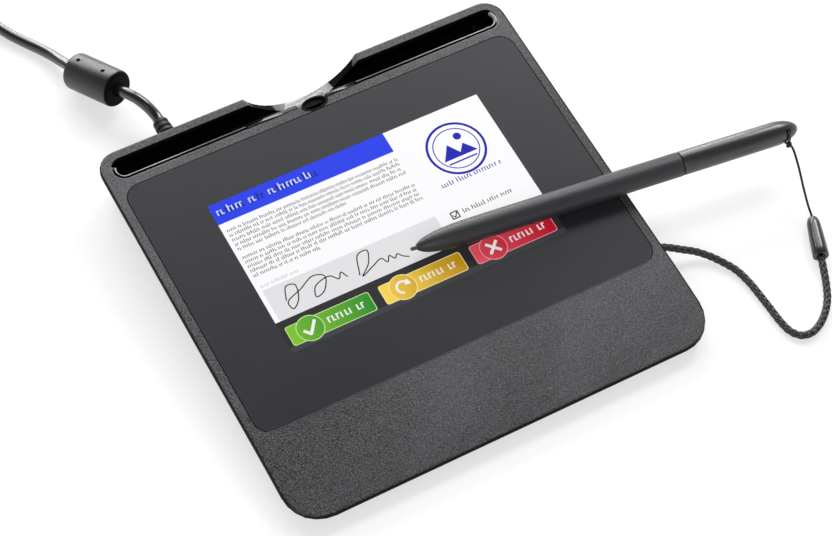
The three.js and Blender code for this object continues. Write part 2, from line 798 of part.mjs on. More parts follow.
function makeLedBar() {
  const y = -guideSize.depth / 2 - gap - ledBar.depth / 2;
  const bar = box(picture.width, ledBar.depth, ledBar.thickness / 2, 0, y, stack.guide - ledBar.thickness);
  const spacing = picture.width / ledBar.leds;
  const leds = Array.from({ length: ledBar.leds }, (_, i) => {
    const x = (i + 1 / 2) * spacing - picture.width / 2;
    return box(ledBar.ledWidth, ledBar.depth / 2, ledBar.thickness, x, y, stack.guide - ledBar.thickness);
  });
  return join(bar, ...leds);
}

function makeChassis() {
  const front = glassFront + ledge.width - chassis.overlap;
  const rear = glassRear - ledge.width + chassis.overlap;
  const outer = glassHalf - ledge.width + chassis.overlap;
  const bottom = stack.chassisFloor - chassis.floor;
  const flange = prism(rectanglePlan(outer, front, rear), stack.flange - chassis.flange, stack.flange);
  const basinPlan = (growth) => rectanglePlan(basinHalf + growth, -basinDepth - growth, basinDepth + growth);
  const basin = prism(basinPlan(chassis.wall), bottom, stack.flange);
  const open = prism(basinPlan(0), stack.chassisFloor, overrun);
  const hole = prism(basinPlan(-chassis.floorRim), bottom - overrun, overrun);
  const bosses = screwPlaces.map(([x, y]) => {
    return fromTable(rod(boss.radius + gap, 0, 2 * deckHeight).translate(x, y, 0));
  });
  const clear = standOval(2 * gap, -stand.length - overrun, overrun);
  const slotLow = stack.sensor - sensor.thickness / 2 - ribbon.thickness - gap;
  const slots = [ribbon.display, ribbon.sensor].map(({ width, x }) => {
    const height = stack.flange - chassis.flange - slotLow;
    return box(width + 2 * gap, chassis.wall + 2 * gap, height, x, basinDepth + chassis.wall / 2, slotLow);
  });
  return cut(join(flange, basin), open, hole, clear, ...bosses, ...slots);
}

const displayPieces = {
  cover_glass: [
    () => prism(
      roundedPlan(glassHalf, glassFront, glassRear, glass.cornerRadius),
      -glass.thickness,
      0,
    ),
    'glass',
  ],
  glass_tape: [makeTape, 'adhesive'],
  lcd_panel: [() => plate(panelSize, panel.thickness, stack.panel), 'picture'],
  light_guide: [() => plate(guideSize, guide.thickness, stack.guide), 'diffuser'],
  led_bar: [makeLedBar, 'board'],
  lcd_tub: [makeTub, 'steel'],
  sensor_board: [() => plate(sensorSize, sensor.thickness, stack.sensor), 'board'],
  shield_plate: [() => plate(shieldSize, shield.thickness, stack.shield), 'steel'],
  display_chassis: [makeChassis, 'frame'],
};

// Main board, its chips and its sockets
function makeBoard() {
  const outline = rectanglePlan((board.left + board.right) / 2, boardFront, boardRear);
  const slab = prism(outline, boardBottom, boardTop).translate((board.right - board.left) / 2, 0, 0);
  const holes = boardScrewPlaces.map(([x, y]) => {
    return rod(boardScrew.shank + gap, 0, deckHeight, screw.sides).translate(x, y, 0);
  });
  return cut(slab, ...holes);
}

function makeChips() {
  const y = boardFront + chip.depth;
  return chipPlaces.map((x) => box(chip.width, chip.depth, chip.thickness, x, y, boardTop + gap));
}

function makeCableSocket() {
  const rear = boardRear - gap;
  const body = box(socket.width, socket.depth, socket.thickness, -boot.place, rear - socket.depth / 2, 0);
  const mouth = rod(wires.radius + gap, 0, socket.depth / 2 + overrun, wires.sides);
  alongY(mouth).translate(-boot.place, rear - socket.depth / 2, socket.thickness / 2);
  return cut(body, mouth).translate(0, 0, boardTop + gap);
}

// A flat ribbon that leaves the display to the rear and turns down to the main board
function makeRibbon({ width, x }) {
  const start = sensorSize.depth / 2 + gap;
  const reach = ribbonRear;
  const top = stack.sensor - sensor.thickness / 2;
  const low = boardTop + gap - deckHeight - reach * Math.sin(deckTilt);
  const t = ribbon.thickness;
  const shape = new THREE.Shape([
    new THREE.Vector2(start, top),
    new THREE.Vector2(start, top - t),
    new THREE.Vector2(reach - t, top - t),
    new THREE.Vector2(reach - t, low),
    new THREE.Vector2(reach, low),
    new THREE.Vector2(reach, top),
  ]);
  return prism(shape, -width / 2, width / 2)
    .rotateX(Math.PI / 2)
    .rotateZ(Math.PI / 2)
    .translate(x, 0, 0);
}

// The cable's wires run straight from the boot's inner end to the socket's mouth
function makeInnerWires() {
  const end = plan.rear - shell.wall - boot.flangeDepth - 2 * gap;
  return alongY(rod(wires.radius, boardRear, end, wires.sides)).translate(-boot.place, 0, boot.height);
}

// Cable pieces
function makeBoot() {
  const { neck, collar, collarDepth, ribBase, ribTip, ribs, ribDepth, ribGap, core } = boot;
  const inside = -shell.wall;
  const profile = [[0, inside], [neck, inside], [neck, gap], [collar, gap], [collar, gap + collarDepth]];
  let along = gap + collarDepth;
  for (let i = 0; i < ribs; i += 1) {
    const radius = ribBase + ((ribTip - ribBase) * i) / (ribs - 1);
    profile.push([core, along], [core, along + ribGap], [radius, along + ribGap]);
    along += ribGap + ribDepth;
    profile.push([radius, along]);
  }
  profile.push([0, along]);
  const flange = box(boot.flange * 2, boot.neck * 2, boot.flangeDepth, 0, 0, inside - gap - boot.flangeDepth);
  const stem = rod(boot.wireGuide, inside - gap - boot.flangeDepth, inside, roundSides);
  const body = join(turned(profile), flange, stem);
  return alongY(body).translate(-boot.place, plan.rear, boot.height);
}

const bootEnd = plan.rear + gap + boot.collarDepth + boot.ribs * (boot.ribGap + boot.ribDepth);

function between(start, end) {
  return vector(end).sub(vector(start)).normalize();
}

function aimed(geometry, direction, at) {
  const turn = new THREE.Quaternion().setFromUnitVectors(new THREE.Vector3(0, 0, 1), direction);
  return geometry.applyQuaternion(turn).translate(...at);
}

function makeBead() {
  const { radius, length, edge, bore } = bead;
  const half = length / 2;
  const room = beadCore.length / 2 + gap;
  const roomRadius = beadCore.radius + gap;
  const profile = [
    [bore, -half],
    [radius - edge, -half],
    [radius - edge * softShare, -half + edge * softShare],
    [radius, -half + edge],
    [radius, half - edge],
    [radius - edge * softShare, half - edge * softShare],
    [radius - edge, half],
    [bore, half],
    [bore, room],
    [roomRadius, room],
    [roomRadius, -room],
    [bore, -room],
    [bore, -half],
  ];
  const direction = between(beadEnds[0], beadEnds[1]);
  const middle = vector(beadEnds[0]).add(vector(beadEnds[1])).divideScalar(2);
  const body = aimed(turned(profile), direction, middle.toArray());
  const pins = [bead.pinShift - bead.pinSpread, bead.pinShift + bead.pinSpread].map((along) => {
    const at = middle.clone().addScaledVector(direction, along);
    const hole = rod(bead.pinRadius, radius - bead.pinDepth, radius + overrun, cable.sides);
    return hole.translate(at.x, at.y, at.z);
  });
  return cut(body, ...pins);
}

function makeBeadCore() {
  const half = beadCore.length / 2;
  const direction = between(beadEnds[0], beadEnds[1]);
  const middle = vector(beadEnds[0]).add(vector(beadEnds[1])).divideScalar(2);
  return aimed(sleeve(beadCore.radius, bead.bore, -half, half), direction, middle.toArray());
}

// The wound cable: rings that shrink and grow by one pitch a turn and climb at each turning point
const coilRadius = coil.innerRadius + coil.pitch * coil.turnsPerLayer;
const coilTurns = coil.layers * coil.turnsPerLayer;
const coilLow = tie.thickness + gap + cable.radius;
const coilHigh = coilLow + (coil.layers - 1) * coil.pitch;

function coilPoint(turns) {
  const layer = turns / coil.turnsPerLayer;
  const whole = Math.floor(layer);
  const part = layer - whole;
  const inward = whole % 2 === 0 ? part : 1 - part;
  const radius = coilRadius - inward * coil.turnsPerLayer * coil.pitch;
  const nearest = Math.round(layer);
  const offset = (layer - nearest) * coil.turnsPerLayer;
  const climbing = nearest > 0 && nearest < coil.layers && Math.abs(offset) < climbTurns / 2;
  const settled = climbing
    ? nearest - 1 + (1 + Math.sin((offset / climbTurns) * Math.PI)) / 2
    : Math.min(whole, coil.layers - 1);
  const angle = THREE.MathUtils.degToRad(coil.startDegrees) + turns * 2 * Math.PI;
  return new THREE.Vector3(
    coil.x + radius * Math.cos(angle),
    coil.y + radius * Math.sin(angle),
    coilLow + settled * coil.pitch,
  );
}

function coilCentres() {
  const steps = Math.round(coilTurns * coil.stepsPerTurn);
  const centres = Array.from({ length: steps + 1 }, (_, i) => coilPoint((i / steps) * coilTurns));
  const straight = 2 * cable.radius;
  const first = centres[0].clone().add(coilHeading(0).multiplyScalar(-straight));
  const last = centres[steps].clone().add(coilHeading(coilTurns).multiplyScalar(straight));
  return [first, ...centres, last];
}

function coilHeading(turns) {
  const angle = THREE.MathUtils.degToRad(coil.startDegrees) + turns * 2 * Math.PI;
  return new THREE.Vector3(-Math.sin(angle), Math.cos(angle), 0);
}

function sweep(centres, radius, sides) {
  const vertices = [];
  const up = new THREE.Vector3(0, 0, 1);
  centres.forEach((centre, i) => {
    const before = centres[Math.max(0, i - 1)];
    const after = centres[Math.min(centres.length - 1, i + 1)];
    const heading = after.clone().sub(before).normalize();
    const side = heading.clone().cross(up).normalize();
    const lift = side.clone().cross(heading);
    for (let k = 0; k < sides; k += 1) {
      const angle = (k / sides) * 2 * Math.PI;
      const point = centre
        .clone()
        .addScaledVector(side, radius * Math.cos(angle))
        .addScaledVector(lift, radius * Math.sin(angle));
      vertices.push(point.x, point.y, point.z);
    }
  });
  const faces = [];
  for (let i = 0; i < centres.length - 1; i += 1) {
    for (let k = 0; k < sides; k += 1) {
      const [p, q] = [i * sides + k, i * sides + ((k + 1) % sides)];
      faces.push(p, p + sides, q + sides, p, q + sides, q);
    }
  }
  const last = (centres.length - 1) * sides;
  for (let k = 1; k < sides - 1; k += 1) {
    faces.push(0, k, k + 1, last, last + k + 1, last + k);
  }
  const geometry = new THREE.BufferGeometry();
  geometry.setAttribute('position', new THREE.Float32BufferAttribute(vertices, 3));
  geometry.setIndex(faces);
  return geometry;
}

// Least space between two runs of the wound cable that are not neighbours along it
function coilSelfGap(centres) {
  const window = Math.round(coil.stepsPerTurn / 2);
  const line = new THREE.Line3();
  const nearest = new THREE.Vector3();
  let least = Infinity;
  for (let i = 0; i < centres.length; i += 1) {
    for (let j = i + window; j < centres.length - 1; j += 1) {
      line.set(centres[j], centres[j + 1]);
      line.closestPointToPoint(centres[i], true, nearest);
      least = Math.min(least, nearest.distanceTo(centres[i]));
    }
  }
  return least - 2 * cable.radius;
}

function makeTie() {
  const hole = coil.innerRadius - cable.radius;
  const inner = Math.sqrt(hole ** 2 - (tie.width / 2) ** 2) - gap;
  const outer = coilRadius + cable.radius + gap;
  const top = coilHigh + cable.radius + gap;
  const t = tie.thickness;
  const shape = rectangle(inner - t, outer + t, 0, top + t);
  shape.holes.push(rectangle(inner, outer, t, top));
  const band = prism(shape, -tie.width / 2, tie.width / 2).rotateX(Math.PI / 2);
  return band.rotateZ(THREE.MathUtils.degToRad(tie.degrees)).translate(coil.x, coil.y, 0);
}

function rectangle(left, right, low, high) {
  return new THREE.Shape([
    new THREE.Vector2(left, low),
    new THREE.Vector2(right, low),
    new THREE.Vector2(right, high),
    new THREE.Vector2(left, high),
  ]);
}

// Plug: its long axis runs to the front from where the cable enters it
function makePlugBody() {
  const { width, height, corner, length, bootLength, bootRadius, bootTip } = plug;
  const block = prism(roundedPlan(width / 2, -height / 2, height / 2, corner), 0, length);
  const sleeveBody = turned([[0, -bootLength], [bootTip, -bootLength], [bootRadius, overrun], [0, overrun]]);
  const hollow = prism(rectangle(-plugRoom, plugRoom, -plugRise, plugRise), length - plugShell.seat, length + overrun);
  return plugPlace(cut(join(block, sleeveBody), hollow));
}

function plugPlace(geometry) {
  return geometry.rotateX(Math.PI / 2).translate(plug.x, plug.y, plug.height / 2 + gap);
}

const plugRoom = plugShell.width / 2 + gap;
const plugRise = plugShell.height / 2 + gap;

function makePlugShell() {
  const start = plug.length - plugShell.seat + gap;
  const end = plug.length + plugShell.length;
  const [halfWidth, halfHeight] = [plugShell.width / 2, plugShell.height / 2];
  const shape = rectangle(-halfWidth, halfWidth, -halfHeight, halfHeight);
  const { wall } = plugShell;
  shape.holes.push(rectangle(-halfWidth + wall, halfWidth - wall, -halfHeight + wall, halfHeight - wall));
  return plugPlace(prism(shape, start, end));
}

function makePlugTongue() {
  const start = plug.length - plugShell.seat + gap;
  const end = plug.length + plugShell.length - gap;
  const halfWidth = plugShell.width / 2 - plugShell.wall - gap;
  const low = -plugShell.height / 2 + plugShell.wall + gap;
  return plugPlace(prism(rectangle(-halfWidth, halfWidth, low, low + plugTongue.height), start, end));
}

// Tether pieces
function makeBush() {
  const inner = -shell.wall + gap;
  const nose = bush.flangeDepth + bush.nose;
  const profile = [
    [0, inner],
    [bush.radius, inner],
    [bush.radius, gap],
    [bush.flange, gap],
    [bush.flange, gap + bush.flangeDepth],
    [bush.radius, gap + nose],
    [0, gap + nose],
  ];
  return alongX(turned(profile)).translate(bushFace, -bush.place, bush.height);
}

function makeAnchor() {
  const right = bushFace - shell.wall - gap;
  const top = bush.height + anchor.rise;
  return box(anchor.length, anchor.width, anchor.height, right - anchor.length / 2, -bush.place, top - anchor.height);
}

function makeCoupler() {
  const { radius, edge, shoulder, tipRadius, length, taper } = coupler;
  const profile = [
    [0, 0],
    [radius - edge, 0],
    [radius, edge],
    [shoulder, length - taper],
    [(shoulder + tipRadius) / 2 + edge / 2, length - taper / 3],
    [tipRadius, length],
    [0, length],
  ];
  return aimed(turned(profile), between(couplerEnds[0], couplerEnds[1]), couplerEnds[0]);
}

// Pen pieces, drawn along +X from the tip and set on the glass afterwards
const holeTurn = THREE.MathUtils.degToRad(pinHole.degrees);

function noseRadius(along) {
  const share = 1 - (along - pen.noseStart) / pen.nose;
  return share > 0 ? pen.radius * Math.sqrt(1 - share ** pen.nosePower) : pen.radius;
}

function makeBarrel() {
  const profile = [];
  const boreRadius = pen.radius - pen.wall;
  const nibHole = nib.radius + gap;
  const start = pen.noseStart + nib.collar;
  for (let i = 0; i <= pen.noseSteps; i += 1) {
    const along = start + ((pen.noseStart + pen.nose - start) * i) / pen.noseSteps;
    profile.push([noseRadius(along), along]);
  }
  profile.push([pen.radius, pen.seam], [boreRadius, pen.seam], [boreRadius, pen.boreStart]);
  profile.push([nibHole, pen.boreStart], [nibHole, start], [noseRadius(start), start]);
  return alongX(turned(profile, pen.sides));
}

function makeCap() {
  const start = pen.seam + pen.seamGap;
  const boreEnd = pen.length - pen.endWall;
  const boreRadius = pen.radius - pen.wall;
  const profile = [[0, boreEnd], [boreRadius, boreEnd], [boreRadius, start], [pen.capRadius, start]];
  for (let i = 0; i <= pen.domeSteps; i += 1) {
    const angle = (i / pen.domeSteps) * (Math.PI / 2);
    profile.push([pen.capRadius * Math.cos(angle), pen.length - pen.dome + pen.dome * Math.sin(angle)]);
  }
  const hole = rod(pinHole.radius, -pen.radius - overrun, pen.radius + overrun, screw.sides);
  hole.rotateX(holeTurn).translate(pen.length - pinHole.setBack, 0, 0);
  return cut(alongX(turned(profile, pen.sides)), hole);
}

function makePenBoard() {
  const start = pressureStart + pressure.length + gap;
  const { length, width, thickness } = penBoard;
  return box(length, width, thickness, start + length / 2, 0, -thickness / 2);
}

function makeCarrier() {
  const start = pressureStart + pressure.length + gap;
  const outer = pen.radius - pen.wall - gap;
  return alongX(sleeve(outer, outer - carrier.wall, start, start + carrier.length));
}

const pressureStart = nib.length + pressure.clearance;

// The string's loop goes through the cap's hole and round its front side, where it is knotted
function makeLoop() {
  const centre = pen.length - pinHole.setBack;
  const points = loopRoute.map(([y, z]) => new THREE.Vector3(centre, y, z));
  const curve = new THREE.CatmullRomCurve3(points, true, 'centripetal');
  const steps = loopRoute.length * string.loopStepsPerPoint;
  const outline = ovalPlan(string.radius, string.radius, string.sides);
  const loop = new THREE.ExtrudeGeometry(outline, { steps, extrudePath: curve });
  const [y, z] = knotPlace;
  const ball = new THREE.SphereGeometry(knot.radius, string.sides, string.sides).translate(centre, y, z);
  return join(closed(loop), ball).translate(-centre, 0, 0).rotateX(holeTurn).translate(centre, 0, 0);
}

const pieces = new Map();

function place(parent, name, geometry, look) {
  const whole = closed(geometry);
  whole.computeVertexNormals();
  const mesh = new THREE.Mesh(whole, new THREE.MeshStandardMaterial({ ...looks[look], flatShading: true }));
  mesh.name = name;
  parent.add(mesh);
  pieces.set(name, mesh);
  return mesh;
}

const root = new THREE.Group();
const deck = new THREE.Group();
deck.rotation.x = deckTilt;
deck.position.z = deckHeight;
root.add(deck);
const penGroup = new THREE.Group();
penGroup.position.set(penTip.x, penTip.y, pen.radius + gap);
penGroup.rotation.z = THREE.MathUtils.degToRad(penTip.degrees);
deck.add(penGroup);

place(root, 'upper_housing', makeUpperHousing(), 'housing');
place(root, 'lower_housing', makeLowerHousing(), 'base');
place(root, 'pen_tray', makeTray(), 'liner');
for (const [name, [make, look]] of Object.entries(displayPieces)) {
  place(deck, name, make(), look);
}
footPlaces.forEach(([x, y], i) => {
  place(root, footNames[i], makeFoot(), 'rubber').position.set(x, y, 0);
});
screwPlaces.forEach(([x, y], i) => {
  place(root, screwNames[i], screwSolid(screw, true), 'steel').position.set(x, y, base.clearance);
});
boardScrewPlaces.forEach(([x, y], i) => {
  const height = boardTop + gap + boardScrew.headHeight;
  place(root, `board_screw_${i + 1}`, screwSolid(boardScrew, false), 'steel').position.set(x, y, height);
});
place(root, 'main_board', makeBoard(), 'board');
makeChips().forEach((geometry, i) => place(root, `board_chip_${i + 1}`, geometry, 'chip'));
place(root, 'cable_socket', makeCableSocket(), 'frame');
place(deck, 'lcd_ribbon', makeRibbon(ribbon.display), 'film');
place(deck, 'sensor_ribbon', makeRibbon(ribbon.sensor), 'film');

place(root, 'inner_wires', makeInnerWires(), 'cable');
place(root, 'cable_boot', makeBoot(), 'rubber');
place(root, 'cable_lead', tube(leadRoute.map(vector), cable), 'cable');
place(root, 'bead_cover', makeBead(), 'bead');
place(root, 'bead_core', makeBeadCore(), 'ferrite');
place(root, 'cable_run', tube(runRoute.map(vector), cable), 'cable');
const centres = coilCentres();
place(root, 'cable_coil', sweep(centres, cable.radius, coil.sides), 'cable');
place(root, 'coil_tie', makeTie(), 'rubber');
place(root, 'cable_tail', tube(tailRoute.map(vector), cable), 'cable');
place(root, 'plug_body', makePlugBody(), 'rubber');
place(root, 'plug_shell', makePlugShell(), 'plating');
place(root, 'plug_tongue', makePlugTongue(), 'diffuser');
const coilGap = coilSelfGap(centres);
console.log(`wound cable: least space between runs ${coilGap.toFixed(2)} mm`);

place(root, 'tether_bush', makeBush(), 'rubber');
place(root, 'tether_anchor', makeAnchor(), 'steel');
place(root, 'tether_braid', tube(braidRoute.map(vector), braid), 'braid');
place(root, 'tether_coupler', makeCoupler(), 'liner');
place(root, 'tether_string', tube(stringRoute.map(vector), string), 'braid');

place(penGroup, 'pen_barrel', makeBarrel(), 'penGrip');
place(penGroup, 'pen_cap', makeCap(), 'penCap');
place(penGroup, 'pen_nib', alongX(rod(nib.radius, 0, nib.length, screw.sides)), 'nib');
place(
  penGroup,
  'pen_ferrite',
  alongX(sleeve(ferrite.radius, nib.radius + gap, ferrite.start, ferrite.start + ferrite.length)),
  'ferrite',
);
place(
  penGroup,
  'pen_winding',
  alongX(
    sleeve(
      ferrite.radius + gap + winding.thickness,
      ferrite.radius + gap,
      winding.start,
      winding.start + winding.length,
    ),
  ),
  'copper',
);
place(
  penGroup,
  'pen_pressure_sensor',
  alongX(rod(pressure.radius, pressureStart, pressureStart + pressure.length)),
  'frame',
);
place(penGroup, 'pen_board', makePenBoard(), 'board');
place(penGroup, 'pen_carrier', makeCarrier(), 'frame');
place(penGroup, 'pen_loop', makeLoop(), 'braid');

// The origin is under the middle of everything but the loose cable and tether
const loose = new Set([
  'cable_lead',
  'bead_cover',
  'bead_core',
  'cable_run',
  'cable_coil',
  'coil_tie',
  'cable_tail',
  'plug_body',
  'plug_shell',
  'plug_tongue',
  'tether_braid',
  'tether_coupler',
  'tether_string',
]);
root.updateMatrixWorld(true);
const firm = new THREE.Box3();
for (const [name, mesh] of pieces) {
  if (!loose.has(name)) {
    firm.expandByObject(mesh, true);
  }
}
const middle = firm.getCenter(new THREE.Vector3());
root.position.set(-middle.x, -middle.y, -firm.min.z);
console.log(`origin shift ${root.position.toArray().map((v) => v.toFixed(3))}`);

export default root;
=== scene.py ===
import json
import logging
import math
import random
from abc import ABC, abstractmethod
from dataclasses import dataclass, field
from enum import Enum, IntEnum
from typing import Callable, Iterable, Sequence

import bmesh
import bpy
from mathutils import Matrix, Vector

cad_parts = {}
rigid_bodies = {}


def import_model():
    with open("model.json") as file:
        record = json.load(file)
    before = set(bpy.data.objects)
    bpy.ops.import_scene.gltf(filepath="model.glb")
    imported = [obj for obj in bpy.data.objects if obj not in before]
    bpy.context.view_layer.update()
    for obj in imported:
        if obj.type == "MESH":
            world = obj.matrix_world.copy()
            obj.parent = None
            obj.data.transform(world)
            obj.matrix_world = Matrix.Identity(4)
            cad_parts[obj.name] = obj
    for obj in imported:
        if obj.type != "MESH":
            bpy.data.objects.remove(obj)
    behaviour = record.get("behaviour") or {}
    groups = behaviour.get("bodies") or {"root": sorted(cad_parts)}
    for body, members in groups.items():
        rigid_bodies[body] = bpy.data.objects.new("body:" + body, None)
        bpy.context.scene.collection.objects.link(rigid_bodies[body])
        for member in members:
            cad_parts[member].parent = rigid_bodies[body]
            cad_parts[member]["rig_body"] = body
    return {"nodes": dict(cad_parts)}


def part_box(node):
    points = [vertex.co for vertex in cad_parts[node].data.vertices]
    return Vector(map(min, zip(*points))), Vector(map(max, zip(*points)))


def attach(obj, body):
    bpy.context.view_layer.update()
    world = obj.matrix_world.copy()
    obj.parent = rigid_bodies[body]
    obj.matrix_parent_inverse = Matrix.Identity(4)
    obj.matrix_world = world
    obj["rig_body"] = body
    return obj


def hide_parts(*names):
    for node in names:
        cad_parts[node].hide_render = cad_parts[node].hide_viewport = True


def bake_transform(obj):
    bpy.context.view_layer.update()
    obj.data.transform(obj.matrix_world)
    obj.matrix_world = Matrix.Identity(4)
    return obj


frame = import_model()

LOG = logging.getLogger("signature_pad")
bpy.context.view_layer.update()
MM = 0.001
RELIEF = "relief"
SECOND_FINISH = 1
NODES = frame["nodes"]
Point = tuple[float, float, float]
Flat = tuple[float, float]
Colour = tuple[float, float, float]
SlotPlace = tuple[Flat, Flat]
Mesh = bpy.types.Mesh
Piece = bpy.types.Object
Material = bpy.types.Material
Node = bpy.types.Node
NodeTree = bpy.types.NodeTree
Socket = bpy.types.NodeSocket


class Body(Enum):
    """The moving bodies of the model."""

    PAD = "pad"
    PEN = "pen"
    NIB = "nib"


@dataclass(frozen=True)
class TableFrame:
    """Turns millimetres round the picture's centre, over the table, into the shared frame."""

    shift_x: float = -33.899
    shift_y: float = 4.607

    def point(self, place: Point) -> Vector:
        """Gives a place over the table in metres.

        Args:
            place: x, y and height in millimetres.

        Returns:
            The point in the shared frame.
        """
        x, y, z = place
        return Vector(((x + self.shift_x) * MM, (y + self.shift_y) * MM, z * MM))

    def points(self, places: Iterable[Point]) -> list[Vector]:
        """Gives several places over the table in metres."""
        return [self.point(place) for place in places]


@dataclass(frozen=True)
class DeckFrame:
    """The plane of the glass: its origin is the picture's centre, and it rises to the rear."""

    table: TableFrame = TableFrame()
    tilt_deg: float = 5.0
    height: float = 15.0876

    def matrix(self) -> Matrix:
        """Gives the matrix that takes millimetres on the deck to metres in the shared frame."""
        lift = Matrix.Translation(self.table.point((0.0, 0.0, self.height)))
        return lift @ Matrix.Rotation(math.radians(self.tilt_deg), 4, "X") @ Matrix.Scale(MM, 4)

    def point(self, place: Point) -> Vector:
        """Gives a place on the deck in metres."""
        return self.matrix() @ Vector(place)


TABLE = TableFrame()
DECK = DeckFrame()


def srgb(red: float, green: float, blue: float) -> Colour:
    """Turns a colour in 0 to 255 into the linear values that shaders take.

    Args:
        red: The red value.
        green: The green value.
        blue: The blue value.

    Returns:
        Linear red, green and blue.
    """
    return tuple(
        v / 12.92 if v <= 0.04045 else ((v + 0.055) / 1.055) ** 2.4
        for v in (red / 255, green / 255, blue / 255)
    )


class NodeSheet:
    """A small helper that places and joins shader nodes in one tree."""

    def __init__(self, tree: NodeTree) -> None:
        """Keeps the tree that nodes go into."""
        self.tree = tree

    def add(self, kind: str, **settings: object) -> Node:
        """Adds a node.

        Args:
            kind: The node's type name.
            **settings: Attributes to set on it.

        Returns:
            The new node.
        """
        node = self.tree.nodes.new(kind)
        for key, value in settings.items():
            setattr(node, key, value)
        return node

    def join(self, start: Socket, end: Socket) -> None:
        """Links one socket to another."""
        self.tree.links.new(start, end)

    def math(self, operation: str, *values: Socket | float) -> Socket:
        """Adds a Math node.

        Args:
            operation: What the node works out.
            *values: The sockets or numbers that it takes, in order.

        Returns:
            The node's output socket.
        """
        node = self.add("ShaderNodeMath", operation=operation)
        for place, value in enumerate(values):
            if isinstance(value, Socket):
                self.join(value, node.inputs[place])
            else:
                node.inputs[place].default_value = value
        return node.outputs[0]

    def ramp(self, value: Socket, low: float, high: float, start: float, end: float) -> Socket:
        """Maps a value from one range to another, and keeps it inside.

        Args:
            value: The socket to map.
            low: The lowest value that comes in.
            high: The highest value that comes in.
            start: What low becomes.
            end: What high becomes.

        Returns:
            The mapped socket.
        """
        node = self.add("ShaderNodeMapRange")
        self.join(value, node.inputs["Value"])
        limits = {"From Min": low, "From Max": high, "To Min": start, "To Max": end}
        for name, number in limits.items():
            node.inputs[name].default_value = number
        return node.outputs["Result"]

    def blend(self, amount: Socket, first: Socket | Colour, second: Socket | Colour) -> Socket:
        """Mixes two colours.

        Args:
            amount: How much of the second colour shows.
            first: A colour or a socket.
            second: A colour or a socket.

        Returns:
            The mixed colour's socket.
        """
        node = self.add("ShaderNodeMix", data_type="RGBA")
        self.join(amount, node.inputs[0])
        for place, value in ((6, first), (7, second)):
            if isinstance(value, Socket):
                self.join(value, node.inputs[place])
            else:
                node.inputs[place].default_value = (*value, 1.0)
        return node.outputs[2]


